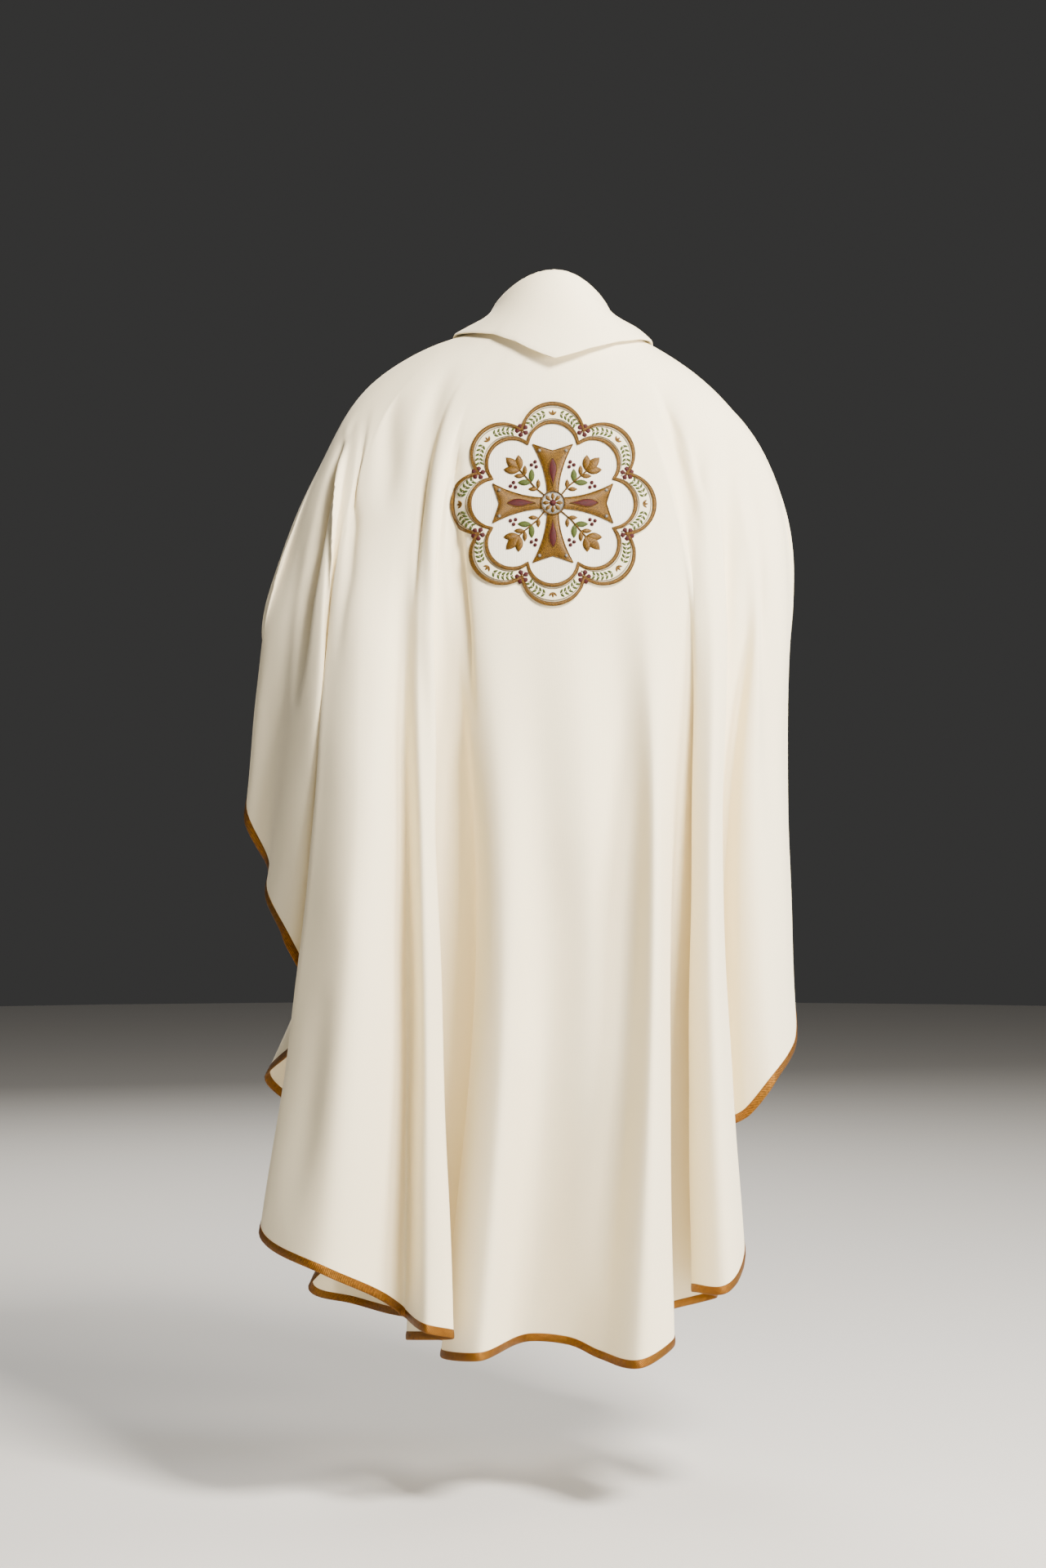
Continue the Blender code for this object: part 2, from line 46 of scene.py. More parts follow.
# The cut and hang of the cloth: level lines of the yoke, then the lines that run down its folds
neckRing = ring(0.086, 0.086, 0.080, 0.096, 0.018, 0.030, -0.045, 1.00)
shoulderRing = ring(0.236, 0.196, 0.114, 0.108, -0.052, -0.105, -0.130, 0.90)
yokeRing = ring(0.300, 0.276, 0.140, 0.128, -0.150, -0.245, -0.235, 0.85)
folds = [
    #         name                 turn    halfX   halfY   halfZ    hemX    hemY    hemZ
    foldLine("leftArmLine", -90, -0.373, 0.022, -0.393, -0.274, 0.188, -0.412),
    foldLine("leftCuffBack", -86, -0.378, -0.004, -0.405, -0.337, 0.132, -0.500),
    foldLine("leftCuffOuter", -82, -0.374, -0.035, -0.410, -0.402, -0.010, -0.615),
    foldLine("leftCuffHollow", -76, -0.347, -0.064, -0.415, -0.372, -0.026, -0.682),
    foldLine("leftCuffSide", -71, -0.324, -0.102, -0.415, -0.371, -0.072, -0.719),
    foldLine("leftCuffCrest", -66, -0.300, -0.132, -0.420, -0.341, -0.115, -0.772),
    foldLine("leftCuffReturn", -61.5, -0.290, -0.124, -0.450, -0.300, -0.056, -0.870),
    foldLine("leftDeepHollow", -58.5, -0.282, -0.134, -0.520, -0.263, -0.046, -1.000),
    foldLine("leftFoldEdge", -55, -0.297, -0.178, -0.620, -0.367, -0.200, -1.142),
    foldLine("leftFoldBelly", -47, -0.245, -0.225, -0.620, -0.281, -0.275, -1.176),
    foldLine("leftFoldFall", -41, -0.209, -0.205, -0.620, -0.218, -0.235, -1.211),
    foldLine("leftFoldTrough", -36, -0.189, -0.165, -0.620, -0.189, -0.190, -1.240),
    foldLine("leftLipCrest", -32, -0.165, -0.205, -0.620, -0.156, -0.270, -1.248),
    foldLine("leftLipEdge", -29.5, -0.153, -0.192, -0.620, -0.128, -0.254, -1.256),
    foldLine("leftLipUnder", -27.5, -0.163, -0.158, -0.620, -0.186, -0.176, -1.272),
    foldLine("valleyFloor", -26, -0.132, -0.132, -0.620, -0.152, -0.104, -1.284),
    foldLine("valleyRoot", -24, -0.108, -0.134, -0.620, -0.114, -0.130, -1.288),
    foldLine("centreLeftEdge", -21.5, -0.099, -0.172, -0.620, -0.143, -0.186, -1.292),
    foldLine("centreLeftCrest", -17, -0.070, -0.203, -0.620, -0.096, -0.246, -1.286),
    foldLine("centreHollow", -6, -0.011, -0.192, -0.620, -0.031, -0.165, -1.276),
    foldLine("centreRise", 3, 0.040, -0.200, -0.620, 0.018, -0.176, -1.279),
    foldLine("centreRightHollow", 12, 0.087, -0.183, -0.620, 0.055, -0.213, -1.289),
    foldLine("centreRightCrest", 21, 0.123, -0.212, -0.620, 0.104, -0.275, -1.289),
    foldLine("centreRightEdge", 26, 0.139, -0.190, -0.620, 0.144, -0.232, -1.273),
    foldLine("rightValleyFloor", 29.5, 0.156, -0.150, -0.620, 0.126, -0.090, -1.255),
    foldLine("rightValleyRoot", 32.5, 0.176, -0.132, -0.620, 0.205, -0.085, -1.234),
    foldLine("rightFoldLip", 34.5, 0.174, -0.172, -0.620, 0.173, -0.165, -1.213),
    foldLine("rightFoldCrest", 38, 0.192, -0.193, -0.620, 0.208, -0.198, -1.211),
    foldLine("rightFoldEdge", 42, 0.210, -0.162, -0.620, 0.241, -0.135, -1.176),
    foldLine("rightFoldUnder", 46, 0.206, -0.118, -0.600, 0.214, -0.060, -1.085),
    foldLine("rightSideHollow", 52, 0.226, -0.092, -0.560, 0.215, -0.020, -1.030),
    foldLine("rightCuffBack", 60, 0.246, -0.118, -0.500, 0.248, -0.062, -1.001),
    foldLine("rightCuffCrest", 67, 0.266, -0.112, -0.460, 0.279, -0.075, -0.960),
    foldLine("rightCuffSide", 75, 0.292, -0.074, -0.440, 0.304, -0.045, -0.931),
    foldLine("rightCuffOuter", 81, 0.303, -0.022, -0.425, 0.318, 0.010, -0.903),
    foldLine("rightCuffFront", 84.5, 0.308, 0.010, -0.415, 0.296, 0.092, -0.720),
    foldLine("rightArmFall", 87, 0.306, 0.034, -0.405, 0.266, 0.162, -0.495),
    foldLine("rightArmLine", 90, 0.298, 0.058, -0.395, 0.232, 0.203, -0.435),
    foldLine("rightArmInner", 94, 0.268, 0.074, -0.408, 0.212, 0.200, -0.472),
    foldLine("rightFrontDrop", 100, 0.226, 0.098, -0.430, 0.258, 0.150, -0.700),
    foldLine("rightFrontHang", 107, 0.204, 0.124, -0.455, 0.244, 0.160, -0.940),
    foldLine("rightFrontCorner", 115, 0.186, 0.146, -0.475, 0.228, 0.216, -1.085),
    foldLine("rightFrontReturn", 123, 0.172, 0.166, -0.500, 0.206, 0.256, -1.165),
    foldLine("rightFrontHollow", 130, 0.156, 0.178, -0.550, 0.186, 0.192, -1.212),
    foldLine("rightFrontCrest", 137, 0.130, 0.202, -0.560, 0.142, 0.285, -1.243),
    foldLine("rightFrontTrough", 146, 0.098, 0.180, -0.600, 0.104, 0.188, -1.272),
    foldLine("frontRightRib", 156, 0.062, 0.192, -0.640, 0.062, 0.256, -1.290),
    foldLine("frontCentreTrough", 168, 0.018, 0.178, -0.640, 0.016, 0.208, -1.298),
    foldLine("frontLeftRib", 180, -0.030, 0.200, -0.620, -0.030, 0.292, -1.300),
    foldLine("leftFrontTrough", 192, -0.078, 0.174, -0.620, -0.085, 0.186, -1.303),
    foldLine("leftFrontCrest", 202, -0.116, 0.196, -0.600, -0.136, 0.262, -1.304),
    foldLine("leftFrontHollow", 212, -0.160, 0.180, -0.580, -0.196, 0.180, -1.303),
    foldLine("leftLowCrest", 222, -0.192, 0.198, -0.560, -0.278, 0.262, -1.299),
    foldLine("leftLowCorner", 230, -0.196, 0.176, -0.520, -0.333, 0.205, -1.272),
    foldLine("leftLowReturn", 236, -0.203, 0.152, -0.490, -0.262, 0.135, -1.160),
    foldLine("leftHangFar", 242, -0.224, 0.134, -0.465, -0.345, 0.208, -1.030),
    foldLine("leftHangCorner", 248, -0.248, 0.110, -0.450, -0.390, 0.160, -0.975),
    foldLine("leftHangNear", 254, -0.275, 0.088, -0.430, -0.343, 0.098, -0.920),
    foldLine("leftFrontDrop", 260, -0.302, 0.068, -0.412, -0.328, 0.106, -0.680),
    foldLine("leftArmInner", 265, -0.342, 0.040, -0.402, -0.252, 0.180, -0.455),
]
cloth = {
    "wall": 0.0012,
    "seamGap": 0.0005,
    "armLine": 90.0,  # turn of the shoulder seams from the centre back, in degrees
    "rows": 112,
    "columnStep": 0.016,
    "columnTurn": 0.20,  # radians of hem between columns
    "share": 0.9945,  # of each line down to the hem; the binding takes the rest
    "neckCut": 0.085,  # radius of the neck on the flat cloth
    "unevenness": 0.0012,
}


# Materials


def colour(hexText):
    parts = [int(hexText[i : i + 2], 16) / 255 for i in (1, 3, 5)]
    return [p / 12.92 if p <= 0.04045 else ((p + 0.055) / 1.055) ** 2.4 for p in parts] + [1.0]


def addNode(material, kind, settings=None, links=None):
    made = material.node_tree.nodes.new(kind)
    for key, value in (settings or {}).items():
        if isinstance(key, int) or key in made.inputs:
            made.inputs[key].default_value = value
        else:
            setattr(made, key, value)
    for key, source in (links or {}).items():
        material.node_tree.links.new(source, made.inputs[key])
    return made


def newMaterial(name):
    material = bpy.data.materials.new(name)
    material.use_nodes = True
    material.node_tree.nodes.clear()
    return material


def shadeWith(material, settings, links):
    shader = addNode(material, "ShaderNodeBsdfPrincipled", settings, links)
    addNode(material, "ShaderNodeOutputMaterial", links={"Surface": shader.outputs["BSDF"]})
    return material


def bands(material, coordinates, period, direction):
    # A wave texture repeats 20 times in a length of two pi at scale 1
    return addNode(
        material,
        "ShaderNodeTexWave",
        {"bands_direction": direction, "Scale": math.pi / 10 / period, "Distortion": 0.0},
        {"Vector": coordinates},
    ).outputs["Fac"]


def ivoryCloth():
    # Wool and polyester crepe, piece dyed: a fine dull weave, very matt, warm where it faces itself
    material = newMaterial("ivoryCrepe")
    flat = addNode(material, "ShaderNodeUVMap", {"uv_map": "flat"}).outputs["UV"]
    # Threads lie 0.5 mm apart, drawn at 1.3 mm because half a millimetre can't show here
    warp = bands(material, flat, 0.0013, "X")
    weft = bands(material, flat, 0.0013, "Y")
    weave = addNode(material, "ShaderNodeMath", {"operation": "MULTIPLY"}, {0: warp, 1: weft})
    slub = addNode(
        material, "ShaderNodeTexNoise", {"Scale": 420.0, "Detail": 3.0, "Roughness": 0.6}, {"Vector": flat}
    )
    handle = addNode(
        material, "ShaderNodeTexNoise", {"Scale": 16.0, "Detail": 3.0, "Roughness": 0.5}, {"Vector": flat}
    )
    cloudy = addNode(
        material, "ShaderNodeTexNoise", {"Scale": 3.2, "Detail": 2.0, "Roughness": 0.5}, {"Vector": flat}
    )
    tone = addNode(
        material,
        "ShaderNodeMix",
        {"data_type": "RGBA", "A": colour("#F1E3BF"), "B": colour("#F5E9C9")},
        {"Factor": cloudy.outputs["Fac"]},
    )
    soft = addNode(
        material, "ShaderNodeBump", {"Strength": 0.30, "Distance": 0.0012}, {"Height": handle.outputs["Fac"]}
    )
    slubs = addNode(
        material,
        "ShaderNodeBump",
        {"Strength": 0.18, "Distance": 0.0002},
        {"Height": slub.outputs["Fac"], "Normal": soft.outputs["Normal"]},
    )
    threads = addNode(
        material,
        "ShaderNodeBump",
        {"Strength": 0.30, "Distance": 0.0002},
        {"Height": weave.outputs["Value"], "Normal": slubs.outputs["Normal"]},
    )
    return shadeWith(
        material,
        {
            "Roughness": 0.86,
            "Specular IOR Level": 0.30,
            "Sheen Weight": 0.22,
            "Sheen Roughness": 0.45,
            "Sheen Tint": colour("#FFF6E4"),
        },
        {"Base Color": tone.outputs["Result"], "Normal": threads.outputs["Normal"]},
    )


def goldLame():
    # Bias-cut lame, a metal thread over an amber ground: diagonal ribs, lit one by one by glints painted into
    # the colour
    material = newMaterial("goldLame")
    strip = addNode(material, "ShaderNodeUVMap", {"uv_map": "flat"}).outputs["UV"]
    turned = addNode(
        material, "ShaderNodeMapping", {"Rotation": (0.0, 0.0, math.radians(38))}, {"Vector": strip}
    ).outputs["Vector"]
    ribs = bands(material, turned, 0.0016, "X")
    picks = bands(material, turned, 0.0011, "Y")
    # Noise that turns some rib segments from the dark ground to bright gold in the base colour: painted
    # glints
    paintedGlint = addNode(
        material, "ShaderNodeTexNoise", {"Scale": 260.0, "Detail": 2.0, "Roughness": 0.7}, {"Vector": turned}
    )
    worn = addNode(
        material, "ShaderNodeTexNoise", {"Scale": 22.0, "Detail": 2.0, "Roughness": 0.5}, {"Vector": strip}
    )
    share = addNode(
        material,
        "ShaderNodeMath",
        {"operation": "MULTIPLY", "use_clamp": True},
        {0: ribs, 1: paintedGlint.outputs["Fac"]},
    )
    lift = addNode(
        material,
        "ShaderNodeMapRange",
        {"From Min": 0.05, "From Max": 0.60, "To Min": 0.0, "To Max": 1.0},
        {"Value": share.outputs["Value"]},
    )
    threads = addNode(
        material,
        "ShaderNodeMix",
        {"data_type": "RGBA", "A": colour("#3A2002"), "B": colour("#C08818")},
        {"Factor": lift.outputs["Result"]},
    )
    tone = addNode(
        material,
        "ShaderNodeMix",
        {"data_type": "RGBA", "blend_type": "MULTIPLY", "B": colour("#D8AE5A")},
        {"A": threads.outputs["Result"], "Factor": worn.outputs["Fac"]},
    )
    ribbed = addNode(material, "ShaderNodeBump", {"Strength": 0.7, "Distance": 0.0005}, {"Height": ribs})
    picked = addNode(
        material,
        "ShaderNodeBump",
        {"Strength": 0.35, "Distance": 0.0003},
        {"Height": picks, "Normal": ribbed.outputs["Normal"]},
    )
    return shadeWith(
        material,
        {"Metallic": 0.72, "Roughness": 0.40},
        {"Base Color": tone.outputs["Result"], "Normal": picked.outputs["Normal"]},
    )


def satinThread(name, light, dark, metallic, roughness, pitch):
    # Rayon or metal embroidery thread laid side by side: fine parallel ridges along each stitch, with a
    # painted highlight on each ridge and painted shade between them
    material = newMaterial(name)
    laid = addNode(material, "ShaderNodeUVMap", {"uv_map": "flat"}).outputs["UV"]
    # A 0.35 mm thread is drawn at the pitch given, so that single stitches show
    ridges = bands(material, laid, pitch, "X")
    shift = addNode(
        material, "ShaderNodeTexNoise", {"Scale": 600.0, "Detail": 1.0, "Roughness": 0.5}, {"Vector": laid}
    )
    mixed = addNode(
        material,
        "ShaderNodeMath",
        {"operation": "MULTIPLY_ADD", 1: 1.6, 2: -0.35, "use_clamp": True},
        {0: shift.outputs["Fac"]},
    )
    # Light colour on the ridges and dark colour between them, broken up at random by noise: painted highlight
    # and painted shade
    paintedRidgeLight = addNode(
        material,
        "ShaderNodeMath",
        {"operation": "MULTIPLY", "use_clamp": True},
        {0: mixed.outputs["Value"], 1: ridges},
    )
    tone = addNode(
        material,
        "ShaderNodeMix",
        {"data_type": "RGBA", "A": colour(dark), "B": colour(light)},
        {"Factor": paintedRidgeLight.outputs["Value"]},
    )
    relief = addNode(material, "ShaderNodeBump", {"Strength": 0.6, "Distance": 0.0003}, {"Height": ridges})
    return shadeWith(
        material,
        {"Metallic": metallic, "Roughness": roughness, "Specular IOR Level": 0.25},
        {"Base Color": tone.outputs["Result"], "Normal": relief.outputs["Normal"]},
    )


finishes = {
    "cloth": ivoryCloth(),
    "binding": goldLame(),
    # For each thread the first colour is the painted highlight on its ridges, the second the painted shade
    # between them
    "ground": satinThread("whiteSatinGround", "#F2EDDD", "#DCD5C2", 0.0, 0.6, 0.0016),
    "band": satinThread("creamStitching", "#F1EAD2", "#D9CFAE", 0.0, 0.55, 0.0012),
    "gold": satinThread("goldMetalThread", "#A27212", "#160C02", 0.22, 0.45, 0.0013),
    "silver": satinThread("silverMetalThread", "#B4B0A6", "#4E4A44", 0.5, 0.40, 0.0011),
    "red": satinThread("darkRedRayon", "#640008", "#180001", 0.0, 0.60, 0.0011),
    "green": satinThread("paleGreenRayon", "#5E6C1A", "#242E08", 0.0, 0.60, 0.0011),
}
print("materials made")


# Lines and grids


def unit(vectors):
    return vectors / np.linalg.norm(vectors, axis=-1, keepdims=True)


def around(places, values, at, lap=0.0, keepOrder=False):
    # Values on a closed line of places, read at other places; a value grows by lap each time round
    places, at, values = np.asarray(places), np.asarray(at, float), np.asarray(values, float)
    flatValues = values.ndim == 1
    values = values.reshape(len(values), -1)
    width = np.diff(places)
    following = np.concatenate([values[1:], values[:1] + lap])
    rise = (following - values) / width[:, None]
    before, widthBefore = np.roll(rise, 1, axis=0), np.roll(width, 1)
    share = (widthBefore / (widthBefore + width))[:, None]
    slope = 2 * before * rise / (before + rise) if keepOrder else before * (1 - share) + rise * share
    i = np.clip(np.searchsorted(places, at % places[-1], side="right") - 1, 0, len(width) - 1)
    t, w = ((at % places[-1] - places[i]) / width[i])[:, None], width[i][:, None]
    nextSlope = np.roll(slope, -1, axis=0)
    read = (
        (2 * t**3 - 3 * t**2 + 1) * values[i]
        + (t**3 - 2 * t**2 + t) * w * slope[i]
        + (3 * t**2 - 2 * t**3) * following[i]
        + (t**3 - t**2) * w * nextSlope[i]
    )
    return read[:, 0] if flatValues else read


def naturalCurve(points, shares):
    # A smooth curve through the points, read at shares of its length
    knots = np.concatenate([[0], np.cumsum(np.linalg.norm(np.diff(points, axis=0), axis=1))])
    width, count = np.diff(knots), len(points)
    system, right = np.eye(count), np.zeros((count, 3))
    for i in range(1, count - 1):
        system[i, i - 1 : i + 2] = width[i - 1], 2 * (width[i - 1] + width[i]), width[i]
        right[i] = 6 * ((points[i + 1] - points[i]) / width[i] - (points[i] - points[i - 1]) / width[i - 1])
    bend = np.linalg.solve(system, right)
    place = np.asarray(shares) * knots[-1]
    i = np.clip(np.searchsorted(knots, place, side="right") - 1, 0, count - 2)
    w = width[i][:, None]
    far, near = (knots[i + 1] - place)[:, None] / w, (place - knots[i])[:, None] / w
    bent = (far**3 - far) * bend[i] + (near**3 - near) * bend[i + 1]
    return far * points[i] + near * points[i + 1] + bent * w**2 / 6


def onRing(level, turn):
    across, along = math.sin(math.radians(turn)), math.cos(math.radians(turn))
    reachX = level.right if across > 0 else level.left
    reachY, farZ = (-level.back, level.backZ) if along > 0 else (level.front, level.frontZ)
    depth = reachY * abs(along) ** level.squareness
    return np.array([reachX * across, depth, level.sideZ + (farZ - level.sideZ) * along**2])


foldTurns = [f.turn for f in folds]
foldHalves = np.array([(f.halfX, f.halfY, f.halfZ) for f in folds])
foldHems = np.array([(f.hemX, f.hemY, f.hemZ) for f in folds])
foldSteps = [np.linalg.norm(np.roll(line, -1, axis=0) - line, axis=1) for line in (foldHems, foldHalves)]
foldPlaces = np.concatenate([[0], np.cumsum(0.6 * foldSteps[0] + 0.4 * foldSteps[1])])


def columnPlaces():
    columns = []
    for start, end in zip(foldPlaces[:-1], foldPlaces[1:]):
        steps = np.diff(around(foldPlaces, foldHems, np.linspace(start, end, 24)), axis=0)
        ways = unit(steps)
        turned = np.arccos(np.clip((ways[1:] * ways[:-1]).sum(axis=1), -1, 1)).sum()
        length = np.linalg.norm(steps, axis=1).sum()
        count = max(2, round(length / cloth["columnStep"] + turned / cloth["columnTurn"]))
        columns += list(np.linspace(start, end, count, endpoint=False))
    return columns


def drapedGrid(columns, shares):
    # The middle of the cloth, as points[row][column] from the neck to the hem, all the way round
    turns = around(foldPlaces, foldTurns, columns, lap=360.0, keepOrder=True)
    halves = around(foldPlaces, foldHalves, columns)
    hems = around(foldPlaces, foldHems, columns)
    lines = []
    for turn, half, hem in zip(turns, halves, hems):
        stations = [onRing(level, turn) for level in (neckRing, shoulderRing, yokeRing)] + [half, hem]
        lines.append(naturalCurve(np.array(stations), shares))
    return np.array(lines).transpose(1, 0, 2)


def outward(grid):
    right, lower = np.roll(grid, -1, axis=1), slice(1, None)
    cells = unit(np.cross(grid[lower] - right[:-1], right[lower] - grid[:-1]))
    cells = cells + np.roll(cells, 1, axis=1)
    return unit(np.concatenate([cells[:1], cells[1:] + cells[:-1], cells[-1:]]))


def reachDown(grid):
    # Length down each line of the grid to each of its points
    steps = np.linalg.norm(np.diff(grid, axis=0), axis=2)
    return np.concatenate([np.zeros((1, grid.shape[1])), np.cumsum(steps, axis=0)])


def along(loop):
    ahead = unit(np.roll(loop, -1, axis=0) - loop)
    return unit(ahead + np.roll(ahead, 1, axis=0))


# Mesh making


def makeMesh(name, points, faces, uvs, finish, sharp=60):
    # uvs is one pair for each corner of each face
    mesh = bpy.data.meshes.new(name)
    mesh.from_pydata(np.asarray(points).tolist(), [], faces if isinstance(faces, list) else faces.tolist())
    layer = mesh.uv_layers.new(name="flat")
    layer.data.foreach_set("uv", np.asarray(uvs, dtype=np.float32).ravel())
    mesh.materials.append(finishes[finish])
    mesh.shade_smooth()
    mesh.set_sharp_from_angle(angle=math.radians(sharp))
    made = bpy.data.objects.new(name, mesh)
    bpy.context.scene.collection.objects.link(made)
    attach(made, "root")
    return made


def makeWall(name, middle, out, low, high, flat, finish, closed=False):
    # A cloth wall on a grid, from low to high along its outward direction
    rows, columns = middle.shape[:2]
    low, high = (np.broadcast_to(np.asarray(v, float), (rows, columns))[..., None] for v in (low, high))
    points = np.concatenate([(middle + out * high).reshape(-1, 3), (middle + out * low).reshape(-1, 3)])
    inner, flatColumns = rows * columns, flat.shape[1]
    r, c = [part.ravel() for part in np.indices((rows - 1, columns if closed else columns - 1))]

    def corner(row, column, side):
        return side * inner + row * columns + column % columns

    spans = np.arange(columns if closed else columns - 1)
    first, last, heights = spans * 0, spans * 0 + rows - 1, np.arange(rows - 1)
    quads = [
        [(r, c, 0), (r + 1, c, 0), (r + 1, c + 1, 0), (r, c + 1, 0)],
        [(r, c, 1), (r, c + 1, 1), (r + 1, c + 1, 1), (r + 1, c, 1)],
        [(first, spans, 0), (first, spans + 1, 0), (first, spans + 1, 1), (first, spans, 1)],
        [(last, spans, 1), (last, spans + 1, 1), (last, spans + 1, 0), (last, spans, 0)],
    ]
    if not closed:
        left, right = heights * 0, heights * 0 + columns - 1
        quads.append([(heights, left, 0), (heights, left, 1), (heights + 1, left, 1), (heights + 1, left, 0)])
        quads.append(
            [(heights + 1, right, 0), (heights + 1, right, 1), (heights, right, 1), (heights, right, 0)]
        )
    faces = np.concatenate([np.stack([corner(*v) for v in quad], axis=1) for quad in quads])
    flatCorners = [[row * flatColumns + column for row, column, side in quad] for quad in quads]
    flatFaces = np.concatenate([np.stack(quad, axis=1) for quad in flatCorners])
    return makeMesh(name, points, faces, flat.reshape(-1, 2)[flatFaces], finish)


# Creases that the hand or the wearer's movement leaves in the hanging cloth. Each path is X and Z of
# points down the crease, on the back or the front; a negative depth is a trough.
creases = [
    crease("back", 0.010, -0.0135, [(-0.147, -0.066), (-0.161, -0.148), (-0.172, -0.223), (-0.180, -0.315)]),
    crease("back", 0.009, 0.0105, [(-0.135, -0.119), (-0.147, -0.167), (-0.152, -0.223), (-0.156, -0.316)]),
    crease("back", 0.011, 0.0070, [(-0.156, -0.300), (-0.158, -0.390), (-0.156, -0.501), (-0.154, -0.600)]),
    crease("back", 0.013, -0.0165, [(-0.131, -0.190), (-0.124, -0.278), (-0.117, -0.371), (-0.109, -0.465)]),
    crease("back", 0.010, -0.0070, [(-0.138, -0.186), (-0.121, -0.168)]),
    crease("back", 0.014, -0.0240, [(-0.277, -0.152), (-0.299, -0.241), (-0.320, -0.334), (-0.331, -0.450)]),
    crease("back", 0.011, 0.0110, [(-0.269, -0.130), (-0.279, -0.223), (-0.288, -0.334)]),
    crease("back", 0.010, -0.0065, [(-0.245, -0.120), (-0.256, -0.241), (-0.265, -0.315), (-0.274, -0.390)]),
    crease("back", 0.014, -0.0070, [(-0.205, -0.090), (-0.214, -0.170), (-0.220, -0.220)]),
    crease("back", 0.014, -0.0130, [(0.140, -0.070), (0.158, -0.150), (0.168, -0.230), (0.174, -0.330)]),
    crease("back", 0.014, -0.0060, [(0.195, -0.125), (0.184, -0.200)]),
    crease("back", 0.011, -0.0130, [(0.217, -0.118), (0.222, -0.210), (0.225, -0.350), (0.222, -0.470)]),
    crease("back", 0.018, -0.0075, [(0.235, -0.120), (0.252, -0.170), (0.262, -0.215), (0.276, -0.270)]),
    crease("back", 0.015, -0.0105, [(0.252, -0.222), (0.268, -0.330), (0.279, -0.480), (0.282, -0.640)]),
    crease("back", 0.040, -0.0090, [(0.020, -0.680), (-0.004, -0.790), (-0.030, -0.890)]),
    crease("back", 0.030, -0.0090, [(0.082, -0.380), (0.084, -0.560), (0.082, -0.760), (0.074, -0.880)]),
    crease("back", 0.026, -0.0080, [(0.078, -0.960), (0.066, -1.060), (0.058, -1.180)]),
    crease("back", 0.030, 0.0040, [(0.042, -0.400), (0.040, -0.560), (0.036, -0.700)]),
    crease("back", 0.030, 0.0040, [(-0.050, -0.480), (-0.062, -0.640), (-0.070, -0.820)]),
    crease("back", 0.020, -0.0030, [(-0.240, -0.420), (-0.246, -0.560), (-0.252, -0.720)]),
    crease("back", 0.030, 0.0070, [(-0.245, -0.760), (-0.262, -0.930), (-0.280, -1.080)]),
    crease("back", 0.026, -0.0065, [(-0.290, -0.860), (-0.312, -1.010), (-0.326, -1.090)]),
    crease("back", 0.016, -0.0030, [(-0.330, -0.300), (-0.344, -0.420), (-0.352, -0.520)]),
    crease("front", 0.018, -0.0045, [(0.100, -0.110), (0.132, -0.220), (0.150, -0.330)]),
    crease("front", 0.020, -0.0050, [(-0.108, -0.115), (-0.146, -0.230), (-0.176, -0.340)]),
    crease("front", 0.022, -0.0040, [(0.020, -0.150), (0.010, -0.320), (0.012, -0.470)]),
    crease("front", 0.020, 0.0035, [(-0.040, -0.200), (-0.052, -0.360)]),
    crease("front", 0.020, -0.0035, [(0.070, -0.300), (0.076, -0.520), (0.080, -0.700)]),
    crease("front", 0.026, -0.0040, [(-0.100, -0.560), (-0.112, -0.760), (-0.118, -0.920)]),
    crease("front", 0.022, -0.0035, [(-0.215, -0.780), (-0.240, -0.960), (-0.252, -1.090)]),
    crease("front", 0.024, 0.0035, [(0.120, -0.820), (0.128, -0.980), (0.134, -1.100)]),
    crease("front", 0.030, -0.0040, [(0.040, -0.800), (0.034, -0.960)]),
]


def flatLayout(grid, columns):
    # Where each point lay when the cloth was cut, as a fan about the neck
    radius = cloth["neckCut"] + reachDown(grid)
    hemStep = np.linalg.norm(np.roll(grid[-1], -1, axis=0) - grid[-1], axis=1)
    turned = np.concatenate([[0], np.cumsum(hemStep / radius[-1])])
    centre = turned[np.argmin(abs(around(foldPlaces, foldTurns, columns, 360.0, True)))]
    radius = np.concatenate([radius, radius[:, :1]], axis=1)
    turned -= centre
    return np.stack([radius * np.sin(turned), -radius * np.cos(turned)], axis=2)


